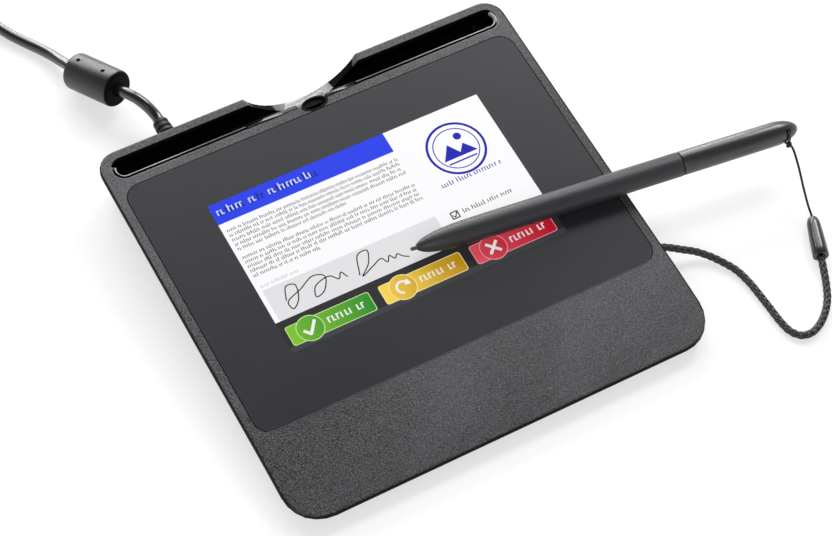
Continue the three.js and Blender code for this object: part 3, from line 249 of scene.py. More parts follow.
class EffectGroups:
    """The effects that several finishes share, each built once as a node group."""

    _built: dict[str, NodeTree] = {}

    @classmethod
    def _start(
        cls, name: str, scale: str, default: float, outputs: Sequence[str]
    ) -> tuple[NodeSheet, Node, Node]:
        """Opens a new group that takes a vector and a scale.

        Args:
            name: The group's name.
            scale: The name of the scale's input.
            default: The scale's default.
            outputs: The outputs' names.

        Returns:
            The group's sheet, its Input node and its Output node.
        """
        tree = bpy.data.node_groups.new(name, "ShaderNodeTree")
        tree.interface.new_socket("Vector", in_out="INPUT", socket_type="NodeSocketVector")
        size = tree.interface.new_socket(scale, in_out="INPUT", socket_type="NodeSocketFloat")
        size.default_value = default
        for label in outputs:
            tree.interface.new_socket(label, in_out="OUTPUT", socket_type="NodeSocketFloat")
        cls._built[name] = tree
        sheet = NodeSheet(tree)
        return sheet, sheet.add("NodeGroupInput"), sheet.add("NodeGroupOutput")

    @classmethod
    def spark_grain(cls) -> NodeTree:
        """A moulded spark grain: fine bumps with pale specks, over broader dark and light spots.

        Returns:
            The group, with outputs Specks, Mottle and Height.
        """
        name, scale = "spark grain", "Grains per metre"
        if name in cls._built:
            return cls._built[name]
        sheet, source, result = cls._start(name, scale, 2200.0, ("Specks", "Mottle", "Height"))
        grains = source.outputs[scale]
        noise = sheet.add("ShaderNodeTexNoise")
        noise.inputs["Detail"].default_value = 3.0
        noise.inputs["Roughness"].default_value = 0.65
        broad = sheet.add("ShaderNodeTexNoise")
        broad.inputs["Detail"].default_value = 2.0
        cells = sheet.add("ShaderNodeTexVoronoi", feature="F1")
        for node in (noise, broad, cells):
            sheet.join(source.outputs["Vector"], node.inputs["Vector"])
        for node in (noise, cells):
            sheet.join(grains, node.inputs["Scale"])
        sheet.join(sheet.math("MULTIPLY", grains, 0.7), broad.inputs["Scale"])
        specks = sheet.ramp(cells.outputs["Distance"], 0.12, 0.45, 1.0, 0.0)
        patchy = sheet.ramp(noise.outputs["Fac"], 0.42, 0.62, 0.0, 1.0)
        sheet.join(sheet.math("MULTIPLY", specks, patchy), result.inputs["Specks"])
        spots = sheet.ramp(broad.outputs["Fac"], 0.4, 0.6, 0.0, 1.0)
        sheet.join(spots, result.inputs["Mottle"])
        relief = sheet.math("MULTIPLY_ADD", specks, 0.35, noise.outputs["Fac"])
        sheet.join(sheet.math("ADD", relief, broad.outputs["Fac"]), result.inputs["Height"])
        return cls._built[name]

    @classmethod
    def handled_sheen(cls) -> NodeTree:
        """The uneven sheen of a surface that hands rest on.

        Returns:
            The group, with output Patches.
        """
        name, scale = "handled sheen", "Patches per metre"
        if name in cls._built:
            return cls._built[name]
        sheet, source, result = cls._start(name, scale, 30.0, ("Patches",))
        noise = sheet.add("ShaderNodeTexNoise")
        noise.inputs["Detail"].default_value = 4.0
        noise.inputs["Distortion"].default_value = 0.6
        sheet.join(source.outputs["Vector"], noise.inputs["Vector"])
        sheet.join(source.outputs[scale], noise.inputs["Scale"])
        patches = sheet.ramp(noise.outputs["Fac"], 0.3, 0.7, 0.0, 1.0)
        sheet.join(patches, result.inputs["Patches"])
        return cls._built[name]

    @classmethod
    def cell_grid(cls) -> NodeTree:
        """The faint grid of a display's picture cells.

        Returns:
            The group, with output Cells.
        """
        name, scale = "cell grid", "Cells per metre"
        if name in cls._built:
            return cls._built[name]
        sheet, source, result = cls._start(name, scale, 7400.0, ("Cells",))
        parts = sheet.add("ShaderNodeSeparateXYZ")
        sheet.join(source.outputs["Vector"], parts.inputs[0])
        lines = []
        for axis in (0, 1):
            along = sheet.math("MULTIPLY", parts.outputs[axis], source.outputs[scale])
            lines.append(sheet.ramp(sheet.math("FRACT", along), 0.0, 0.18, 0.94, 1.0))
        sheet.join(sheet.math("MULTIPLY", *lines), result.inputs["Cells"])
        return cls._built[name]


def place_group(sheet: NodeSheet, tree: NodeTree, **values: float) -> Node:
    """Puts a shared effect in a material, fed by the piece's own coordinates.

    Args:
        sheet: The material's sheet.
        tree: The effect's group.
        **values: Input values; an underscore in a name stands for a space.

    Returns:
        The group node.
    """
    node = sheet.add("ShaderNodeGroup", node_tree=tree)
    where = sheet.add("ShaderNodeTexCoord")
    sheet.join(where.outputs["Object"], node.inputs["Vector"])
    for key, value in values.items():
        node.inputs[key.replace("_", " ")].default_value = value
    return node


def place_bump(
    sheet: NodeSheet, shader: Node, height: Socket, strength: float, depth: float
) -> None:
    """Gives a material its relief.

    Args:
        sheet: The material's sheet.
        shader: Its Principled shader.
        height: The socket that the relief comes from.
        strength: How much of the relief shows.
        depth: The relief's depth in millimetres.
    """
    bump = sheet.add("ShaderNodeBump")
    bump.inputs["Strength"].default_value = strength
    bump.inputs["Distance"].default_value = depth * MM
    sheet.join(height, bump.inputs["Height"])
    sheet.join(bump.outputs["Normal"], shader.inputs["Normal"])


@dataclass(frozen=True)
class Finish(ABC):
    """What a piece is made of; it becomes a material when the first piece takes it."""

    name: str

    def material(self) -> Material:
        """Gives the material, and builds it the first time.

        Returns:
            The material.
        """
        if self.name in bpy.data.materials:
            return bpy.data.materials[self.name]
        made = bpy.data.materials.new(self.name)
        made.use_nodes = True
        self.dress(NodeSheet(made.node_tree), made.node_tree.nodes["Principled BSDF"])
        return made

    @abstractmethod
    def dress(self, sheet: NodeSheet, shader: Node) -> None:
        """Builds the finish's nodes.

        Args:
            sheet: The material's sheet.
            shader: Its Principled shader.
        """


@dataclass(frozen=True)
class MouldedPlastic(Finish):
    """Moulded plastic or rubber with a grain, spots, pale specks and an uneven sheen.

    Colours are linear. Grains and patches are counted per metre, and depth is in millimetres.
    """

    colour: Colour
    speck: Colour
    roughness: float = 0.55
    sheen_change: float = 0.08
    grains: float = 2200.0
    depth: float = 0.03
    speck_share: float = 0.5
    patches: float = 30.0
    specular: float = 0.5
    coat: float = 0.0
    coat_roughness: float = 0.1
    mottle: float = 0.08
    wear_and_painted_light: float = 0.12
    bump_strength: float = 0.6

    def dress(self, sheet: NodeSheet, shader: Node) -> None:
        """Builds the spotted and worn colour, the sheen and the grain.

        Args:
            sheet: The material's sheet.
            shader: Its Principled shader.
        """
        shader.inputs["Specular IOR Level"].default_value = self.specular
        shader.inputs["Coat Weight"].default_value = self.coat
        shader.inputs["Coat Roughness"].default_value = self.coat_roughness
        grain = place_group(sheet, EffectGroups.spark_grain(), Grains_per_metre=self.grains)
        sheen = place_group(sheet, EffectGroups.handled_sheen(), Patches_per_metre=self.patches)
        amount = sheet.math("MULTIPLY", grain.outputs["Specks"], self.speck_share)
        dark = tuple((1 - self.mottle) * v for v in self.colour)
        light = tuple((1 + self.mottle) * v for v in self.colour)
        spotted = sheet.blend(grain.outputs["Mottle"], dark, light)
        speckled = sheet.blend(amount, spotted, self.speck)
        # Broad pale patches: wear, and on the grey case also painted uneven light
        worn_and_painted_light = sheet.math("MULTIPLY", sheen.outputs["Patches"], self.wear_and_painted_light)
        sheet.join(sheet.blend(worn_and_painted_light, speckled, self.speck), shader.inputs["Base Color"])
        low, high = self.roughness - self.sheen_change, self.roughness + self.sheen_change
        rough = sheet.ramp(sheen.outputs["Patches"], 0.0, 1.0, low, high)
        sheet.join(rough, shader.inputs["Roughness"])
        place_bump(sheet, shader, grain.outputs["Height"], self.bump_strength, self.depth)


@dataclass(frozen=True)
class BraidedYarn(Finish):
    """Yarn with painted shade between its strands and painted light on their tops.

    Both follow the relief that a swept piece carries.
    """

    # gap: painted shade between the strands; top: painted light on their crests
    gap: Colour
    top: Colour
    roughness: float = 0.4
    low: float = 0.8
    high: float = 0.98
    specular: float = 0.6
    fibres: float = 6000.0
    fibre_share: float = 0.35
    fibre_depth: float = 0.03
    bump_strength: float = 0.5

    def dress(self, sheet: NodeSheet, shader: Node) -> None:
        """Builds the strands' painted light tops and painted shade in their gaps, and the fibres on
        them.

        Args:
            sheet: The material's sheet.
            shader: Its Principled shader.
        """
        shader.inputs["Specular IOR Level"].default_value = self.specular
        shader.inputs["Roughness"].default_value = self.roughness
        grain = place_group(sheet, EffectGroups.spark_grain(), Grains_per_metre=self.fibres)
        relief = sheet.add("ShaderNodeAttribute", attribute_name=RELIEF)
        share = sheet.ramp(relief.outputs["Fac"], self.low, self.high, 0.0, 1.0)
        lit_and_shaded_strands = sheet.blend(share, self.gap, self.top)
        dimmed = sheet.math("MULTIPLY", grain.outputs["Mottle"], self.fibre_share)
        sheet.join(sheet.blend(dimmed, lit_and_shaded_strands, self.gap), shader.inputs["Base Color"])
        place_bump(sheet, shader, grain.outputs["Height"], self.bump_strength, self.fibre_depth)


@dataclass(frozen=True)
class PlatedMetal(Finish):
    """Bare or plated metal, duller and darker in fine patches."""

    colour: Colour
    roughness: float = 0.3
    patches: float = 400.0
    dulling: float = 0.8
    smoother: float = 0.06
    rougher: float = 0.1

    def dress(self, sheet: NodeSheet, shader: Node) -> None:
        """Builds the patchy metal.

        Args:
            sheet: The material's sheet.
            shader: Its Principled shader.
        """
        shader.inputs["Metallic"].default_value = 1.0
        sheen = place_group(sheet, EffectGroups.handled_sheen(), Patches_per_metre=self.patches)
        darker = tuple(self.dulling * v for v in self.colour)
        colour = sheet.blend(sheen.outputs["Patches"], self.colour, darker)
        sheet.join(colour, shader.inputs["Base Color"])
        low, high = self.roughness - self.smoother, self.roughness + self.rougher
        rough = sheet.ramp(sheen.outputs["Patches"], 0.0, 1.0, low, high)
        sheet.join(rough, shader.inputs["Roughness"])


@dataclass(frozen=True)
class LitInk(Finish):
    """A colour of the lit picture, which may fade to a second colour along one direction."""

    colour: Colour
    fade: Colour | None = None
    fade_from: float = 0.0
    fade_to: float = 1.0
    fade_axis: int = 0
    glow: float = 0.62
    body: float = 0.38
    gaps: float = 0.9

    def dress(self, sheet: NodeSheet, shader: Node) -> None:
        """Builds the glowing picture cells.

        Args:
            sheet: The material's sheet.
            shader: Its Principled shader.
        """
        shader.inputs["Roughness"].default_value = 0.5
        shader.inputs["Specular IOR Level"].default_value = 0.12
        shader.inputs["Emission Strength"].default_value = self.glow
        cells = place_group(sheet, EffectGroups.cell_grid())
        dark = tuple(self.gaps * v for v in self.colour)
        colour = sheet.blend(cells.outputs["Cells"], dark, self.colour)
        if self.fade is not None:
            where = sheet.add("ShaderNodeTexCoord")
            parts = sheet.add("ShaderNodeSeparateXYZ")
            sheet.join(where.outputs["Object"], parts.inputs[0])
            place = parts.outputs[self.fade_axis]
            along = sheet.ramp(place, self.fade_from, self.fade_to, 0.0, 1.0)
            colour = sheet.blend(along, colour, self.fade)
        sheet.join(colour, shader.inputs["Emission Color"])
        body = sheet.add("ShaderNodeMix", data_type="RGBA", blend_type="MULTIPLY")
        body.inputs[0].default_value = 1.0
        sheet.join(colour, body.inputs[6])
        body.inputs[7].default_value = (self.body, self.body, self.body, 1.0)
        sheet.join(body.outputs[2], shader.inputs["Base Color"])


# Its strong broad pale patches paint uneven light across the palm rest as well as wear
GREY_CASE = MouldedPlastic(
    "grey grained case",
    srgb(44, 44, 46),
    srgb(152, 152, 157),
    roughness=0.46,
    sheen_change=0.04,
    grains=2300.0,
    depth=0.24,
    speck_share=0.7,
    patches=14.0,
    specular=0.35,
    mottle=1.0,
    wear_and_painted_light=0.2,
)
# The base's own black, also used as painted shade on the case top's walls, rim and groove
BLACK_BASE_AND_PAINTED_SHADE = MouldedPlastic(
    "black grained base and painted shade",
    srgb(9, 9, 10),
    srgb(26, 26, 26),
    roughness=0.6,
    sheen_change=0.05,
    grains=1600.0,
    depth=0.05,
    specular=0.15,
)
BLACK_LINER = MouldedPlastic(
    "polished black tray",
    srgb(5, 5, 6),
    srgb(9, 9, 10),
    roughness=0.12,
    sheen_change=0.03,
    grains=900.0,
    depth=0.002,
    speck_share=0.2,
    patches=60.0,
)
GLASS_FACE = MouldedPlastic(
    "etched dark glass",
    srgb(46, 47, 51),
    srgb(54, 55, 59),
    roughness=0.32,
    sheen_change=0.02,
    grains=5200.0,
    depth=0.004,
    speck_share=0.1,
    patches=18.0,
    specular=0.25,
    mottle=0.03,
)
BLACK_RUBBER = MouldedPlastic(
    "black rubber", srgb(20, 20, 21), srgb(44, 44, 44), roughness=0.5, grains=2600.0
)
CABLE_JACKET = MouldedPlastic(
    "cable jacket",
    srgb(26, 27, 30),
    srgb(48, 49, 53),
    roughness=0.22,
    sheen_change=0.04,
    grains=1800.0,
    depth=0.01,
    speck_share=0.2,
    patches=80.0,
    specular=0.9,
    coat=0.6,
    coat_roughness=0.12,
    mottle=0.1,
)
BEAD_SKIN = MouldedPlastic(
    "bead moulding",
    srgb(12, 12, 15),
    srgb(48, 50, 56),
    roughness=0.34,
    sheen_change=0.04,
    grains=2400.0,
    depth=0.05,
    speck_share=0.4,
    patches=60.0,
    specular=0.7,
    coat_roughness=0.3,
    mottle=0.3,
)
# The braid's and the string's dark gaps are painted shade, and their light tops painted light
BRAID_YARN = BraidedYarn(
    "braided yarn", srgb(1, 1, 2), srgb(62, 62, 66), roughness=0.34, low=0.86, high=0.99
)
STRING_YARN = BraidedYarn("string yarn", srgb(2, 2, 3), srgb(30, 30, 32))
# A painted highlight: pale grey on the black lip's rounded slopes, for the light line along the
# slot
LIP_PAINTED_HIGHLIGHT = MouldedPlastic(
    "painted lip highlight",
    srgb(112, 113, 116),
    srgb(140, 141, 145),
    roughness=0.2,
    sheen_change=0.03,
    grains=2300.0,
    depth=0.01,
    speck_share=0.2,
    patches=40.0,
    specular=1.0,
)
# Painted shade: near black on the bead's ends, which face away from the light
BEAD_END_SHADE = MouldedPlastic(
    "bead end",
    srgb(5, 5, 6),
    srgb(24, 24, 28),
    roughness=0.6,
    sheen_change=0.05,
    grains=2400.0,
    speck_share=0.3,
    patches=60.0,
    specular=0.08,
)
COUPLER_SKIN = MouldedPlastic(
    "coupler moulding",
    srgb(26, 26, 28),
    srgb(46, 46, 50),
    roughness=0.24,
    sheen_change=0.05,
    grains=2600.0,
    depth=0.02,
    speck_share=0.3,
    specular=0.9,
)
SCOOP_GLOSS = MouldedPlastic(
    "polished scoop",
    srgb(5, 5, 6),
    srgb(9, 9, 10),
    roughness=0.24,
    sheen_change=0.03,
    grains=900.0,
    depth=0.0005,
    speck_share=0.2,
    patches=60.0,
    specular=1.0,
)
SCOOP_DULL = MouldedPlastic(
    "dull scoop side",
    srgb(6, 6, 7),
    srgb(12, 12, 14),
    roughness=0.6,
    sheen_change=0.05,
    grains=1600.0,
    depth=0.02,
    speck_share=0.3,
    patches=60.0,
    specular=0.02,
)
# A painted highlight: pale grey on the glass's front edge only, for the light line there
GLASS_EDGE_HIGHLIGHT = MouldedPlastic(
    "painted glass edge highlight",
    srgb(168, 168, 171),
    srgb(190, 190, 194),
    roughness=0.6,
    sheen_change=0.05,
    grains=2600.0,
    depth=0.02,
    speck_share=0.3,
)
PEN_SKIN = MouldedPlastic(
    "satin pen barrel",
    srgb(50, 51, 54),
    srgb(70, 71, 74),
    roughness=0.46,
    sheen_change=0.04,
    grains=3000.0,
    depth=0.012,
    speck_share=0.25,
)
CAP_SKIN = MouldedPlastic(
    "polished pen cap",
    srgb(44, 45, 48),
    srgb(60, 61, 64),
    roughness=0.3,
    sheen_change=0.03,
    grains=2600.0,
    depth=0.006,
    speck_share=0.2,
    specular=0.9,
)
NIB_SKIN = MouldedPlastic(
    "nib",
    srgb(14, 14, 14),
    srgb(34, 34, 34),
    roughness=0.5,
    sheen_change=0.05,
    grains=3000.0,
    depth=0.005,
)
INNER_FRAME = MouldedPlastic(
    "inner frame",
    srgb(44, 45, 47),
    srgb(70, 70, 70),
    roughness=0.6,
    sheen_change=0.06,
    grains=1500.0,
    depth=0.04,
)
BOARD_LACQUER = MouldedPlastic(
    "board lacquer", srgb(26, 92, 54), srgb(52, 130, 82), roughness=0.35, grains=1200.0, depth=0.02
)
CHIP_BODY = MouldedPlastic(
    "chip moulding",
    srgb(26, 26, 26),
    srgb(60, 60, 60),
    sheen_change=0.05,
    grains=2500.0,
    depth=0.02,
)
WHITE_GUIDE = MouldedPlastic(
    "white light guide", srgb(226, 226, 220), srgb(240, 240, 236), roughness=0.4, sheen_change=0.05
)
AMBER_FILM = MouldedPlastic(
    "amber film", srgb(176, 112, 32), srgb(200, 140, 60), roughness=0.35, sheen_change=0.05
)
FERRITE_BODY = MouldedPlastic(
    "sintered ferrite", srgb(40, 40, 43), srgb(72, 72, 76), roughness=0.6, grains=2600.0, depth=0.04
)
STEEL = PlatedMetal("plated steel", (0.58, 0.59, 0.6))
PLUG_METAL = PlatedMetal("plug plating", (0.72, 0.72, 0.74), roughness=0.2)
COPPER_WIRE = PlatedMetal("copper wire", (0.6, 0.26, 0.12))


def link_piece(name: str, mesh: Mesh, *finishes: Finish) -> Piece:
    """Makes an object and puts it in the scene.

    Args:
        name: The object's name.
        mesh: Its mesh, in the shared frame.
        *finishes: What it is made of, the main finish first.

    Returns:
        The new object.
    """
    piece = bpy.data.objects.new(name, mesh)
    bpy.context.scene.collection.objects.link(piece)
    add_finishes(piece, *finishes)
    return piece


def add_finishes(piece: Piece, *finishes: Finish) -> None:
    """Adds finishes after those that a piece has."""
    for finish in finishes:
        piece.data.materials.append(finish.material())


def add_piece(name: str, mesh: Mesh, finish: Finish, body: Body) -> Piece:
    """Makes an object that rides on a body.

    Args:
        name: The piece's name.
        mesh: Its mesh, in the shared frame.
        finish: What it is made of.
        body: The body that it moves with.

    Returns:
        The new object.
    """
    piece = link_piece(name, mesh, finish)
    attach(piece, body.value)
    return piece


def mesh_of(
    name: str, vertices: Sequence[Vector], faces: Sequence[Sequence[int]], smooth: bool = True
) -> Mesh:
    """Makes a mesh from points and faces.

    Args:
        name: The mesh's name.
        vertices: Points in metres.
        faces: Each face's point numbers.
        smooth: Whether its faces shade smoothly.

    Returns:
        The mesh.
    """
    mesh = bpy.data.meshes.new(name)
    mesh.from_pydata([tuple(v) for v in vertices], [], [list(f) for f in faces])
    mesh.validate()
    for polygon in mesh.polygons:
        polygon.use_smooth = smooth
    mesh.update()
    return mesh


def baked(piece: Piece) -> Piece:
    """Turns a piece's modifiers into plain mesh.

    Args:
        piece: The object with modifiers.

    Returns:
        The same object, with its final mesh.
    """
    bpy.context.view_layer.update()
    graph = bpy.context.evaluated_depsgraph_get()
    final = bpy.data.meshes.new_from_object(piece.evaluated_get(graph), depsgraph=graph)
    piece.modifiers.clear()
    piece.data = final
    return piece


def softened(
    node: str, name: str, finish: Finish, width: float, angle: float = 38.0, segments: int = 2
) -> Piece:
    """Makes a copy of a solid whose hard edges are rounded, to stand for it.

    Args:
        node: The solid's name.
        name: The new piece's name.
        finish: What it is made of.
        width: The rounding's width in millimetres.
        angle: Edges sharper than this many degrees are rounded.
        segments: How many faces a rounding has.

    Returns:
        The new object.
    """
    weld = 0.002 * MM
    flat = math.radians(0.05)
    source = NODES[node]
    shape = bmesh.new()
    shape.from_mesh(source.data)
    bmesh.ops.remove_doubles(shape, verts=shape.verts, dist=weld)
    bmesh.ops.dissolve_limit(shape, angle_limit=flat, verts=shape.verts, edges=shape.edges)
    mesh = bpy.data.meshes.new(name)
    shape.to_mesh(mesh)
    shape.free()
    for polygon in mesh.polygons:
        polygon.use_smooth = True
    piece = add_piece(name, mesh, finish, Body(source["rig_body"]))
    rounding = piece.modifiers.new("rounding", "BEVEL")
    rounding.width = width * MM
    rounding.segments = segments
    rounding.limit_method = "ANGLE"
    rounding.angle_limit = math.radians(angle)
    rounding.use_clamp_overlap = True
    rounding.harden_normals = False
    levelling = piece.modifiers.new("levelling", "WEIGHTED_NORMAL")
    levelling.keep_sharp = True
    baked(piece)
    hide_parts(node)
    return piece


def lathe(profile: Sequence[Flat], segments: int, matrix: Matrix, name: str) -> Mesh:
    """Turns a profile round its own axis.

    Args:
        profile: Distance along the axis and radius, in millimetres, from one end to the other.
        segments: How many sides it has.
        matrix: Takes the lathe's frame, with its axis along X in millimetres, to the shared frame.
        name: The mesh's name.

    Returns:
        A closed mesh.
    """
    vertices: list[Vector] = []
    rings: list[list[int]] = []
    on_axis = 1e-6
    for along, radius in profile:
        if radius <= on_axis:
            rings.append([len(vertices)])
            vertices.append(matrix @ Vector((along, 0.0, 0.0)))
            continue
        rings.append(list(range(len(vertices), len(vertices) + segments)))
        for side in range(segments):
            angle = 2 * math.pi * side / segments
            y, z = radius * math.cos(angle), radius * math.sin(angle)
            vertices.append(matrix @ Vector((along, y, z)))
    faces: list[list[int]] = []
    for first, second in zip(rings, rings[1:]):
        for side in range(segments):
            after = (side + 1) % segments
            if len(first) == 1:
                faces.append([first[0], second[side], second[after]])
            elif len(second) == 1:
                faces.append([first[side], second[0], first[after]])
            else:
                faces.append([first[side], second[side], second[after], first[after]])
    for ring, flip in ((rings[0], False), (rings[-1], True)):
        if len(ring) > 1:
            faces.append(ring[::-1] if flip else ring)
    return mesh_of(name, vertices, faces)


def sharpen(piece: Piece, angle: float = 35.0) -> None:
    """Keeps a smooth piece's hard edges crisp.

    Args:
        piece: The object.
        angle: Edges sharper than this many degrees stay hard.
    """
    shape = bmesh.new()
    shape.from_mesh(piece.data)
    bmesh.ops.recalc_face_normals(shape, faces=shape.faces)
    for edge in shape.edges:
        bend = edge.calc_face_angle(0.0)
        edge.smooth = bend < math.radians(angle)
    shape.to_mesh(piece.data)
    shape.free()


def drill(piece: Piece, radius: float, length: float, matrix: Matrix) -> None:
    """Cuts a round hole in a piece.

    Args:
        piece: The object to cut.
        radius: The hole's radius in millimetres.
        length: How far the cutter reaches along its own X.
        matrix: Takes the cutter's frame, in millimetres, to the shared frame.
    """
    sides = 32
    profile: list[Flat] = [(0.0, 0.0), (0.0, radius), (length, radius), (length, 0.0)]
    cutter = link_piece("cutter", lathe(profile, sides, matrix, "cutter"))
    sharpen(cutter)
    cutting = piece.modifiers.new("hole", "BOOLEAN")
    cutting.operation = "DIFFERENCE"
    cutting.solver = "EXACT"
    cutting.object = cutter
    baked(piece)
    bpy.data.objects.remove(cutter)
    sharpen(piece)


def smooth_route(places: Sequence[Vector], spacing: float) -> list[Vector]:
    """Runs a centripetal curve through places.

    Args:
        places: The points that it passes through, in metres.
        spacing: The distance between points of the result, in metres.

    Returns:
        Points along the curve.
    """
    least = 1e-9
    ends = [2 * places[0] - places[1], *places, 2 * places[-1] - places[-2]]
    result = [places[0].copy()]
    for i in range(1, len(ends) - 2):
        corners = ends[i - 1 : i + 3]
        times = [0.0]
        for start, end in zip(corners, corners[1:]):
            times.append(times[-1] + max(least, math.sqrt((end - start).length)))
        steps = max(1, round((corners[2] - corners[1]).length / spacing))
        for step in range(1, steps + 1):
            t = times[1] + (times[2] - times[1]) * step / steps
            row = corners
            for reach in (1, 2):
                row = [
                    ((times[k + reach] - t) * row[k] + (t - times[k]) * row[k + 1])
                    / (times[k + reach] - times[k])
                    for k in range(len(row) - 1)
                ]
            near, far = (times[2] - t) * row[0], (t - times[1]) * row[1]
            result.append((near + far) / (times[2] - times[1]))
    return result


def swept_tube(
    points: Sequence[Vector],
    sides: int,
    radius_at: Callable[[float, float], float],
    name: str,
    closed: bool = False,
) -> Mesh:
    """Sweeps a round section along points.

    Args:
        points: The centre line, in metres.
        sides: How many sides the section has.
        radius_at: Gives the radius in metres from the distance along and the angle round.
        name: The mesh's name.
        closed: Whether the last point joins the first.

    Returns:
        The mesh.
    """
    vertices: list[Vector] = []
    faces: list[list[int]] = []
    radii: list[float] = []
    count = len(points)
    side = Vector((0, 0, 1))
    along = 0.0
    for i, centre in enumerate(points):
        before = points[(i - 1) % count] if closed else points[max(0, i - 1)]
        after = points[(i + 1) % count] if closed else points[min(count - 1, i + 1)]
        heading = (after - before).normalized()
        if i == 0:
            side = heading.orthogonal().normalized()
        side = (side - heading * side.dot(heading)).normalized()
        lift = heading.cross(side)
        if i:
            along += (centre - points[i - 1]).length
        for k in range(sides):
            angle = 2 * math.pi * k / sides
            radius = radius_at(along, angle)
            radii.append(radius)
            vertices.append(centre + radius * (math.cos(angle) * side + math.sin(angle) * lift))
    for i in range(count if closed else count - 1):
        for k in range(sides):
            p, q = i * sides + k, i * sides + (k + 1) % sides
            r, s = (p + sides) % len(vertices), (q + sides) % len(vertices)
            faces.append([p, q, s, r])
    if not closed:
        faces.append(list(range(sides))[::-1])
        faces.append(list(range((count - 1) * sides, count * sides)))
    mesh = mesh_of(name, vertices, faces)
    widest = max(radii)
    relief = mesh.attributes.new(RELIEF, "FLOAT", "POINT")
    relief.data.foreach_set("value", [radius / widest for radius in radii])
    return mesh


@dataclass
class ShotCamera:
    """The camera at the photograph's place."""

    place: Point = (-280.46, -421.95, 693.49)
    right: Point = (0.874266, -0.484666, 0.027532)
    up: Point = (0.384275, 0.725601, 0.570820)
    ahead: Point = (0.296634, 0.488469, -0.820613)
    focal_pixels: float = 2400.0
    frame_pixels: float = 832.0
    sensor: float = 36.0

    def build(self) -> None:
        """Makes the camera and gives it to the scene."""
        lens = bpy.data.cameras.new("shot camera")
        lens.sensor_width = self.sensor
        lens.sensor_fit = "HORIZONTAL"
        lens.lens = self.sensor * self.focal_pixels / self.frame_pixels
        lens.clip_start = 0.01
        lens.clip_end = 20.0
        camera = bpy.data.objects.new("shot camera", lens)
        bpy.context.scene.collection.objects.link(camera)
        columns = (Vector(self.right), Vector(self.up), -Vector(self.ahead))
        turn = Matrix(columns).transposed().to_4x4()
        camera.matrix_world = Matrix.Translation(Vector(self.place) * MM) @ turn
        bpy.context.scene.camera = camera


@dataclass(frozen=True)
class SoftBox:
    """A soft lamp that points at the middle of the table; metres and watts."""

    name: str
    place: Point
    sides: Flat
    power: float

    def build(self) -> None:
        """Adds the lamp to the scene."""
        lamp = bpy.data.lights.new(self.name, "AREA")
        lamp.shape = "RECTANGLE"
        lamp.size, lamp.size_y = self.sides
        lamp.energy = self.power
        holder = bpy.data.objects.new(self.name, lamp)
        bpy.context.scene.collection.objects.link(holder)
        holder.location = self.place
        holder.rotation_euler = (-Vector(self.place)).to_track_quat("-Z", "Y").to_euler()


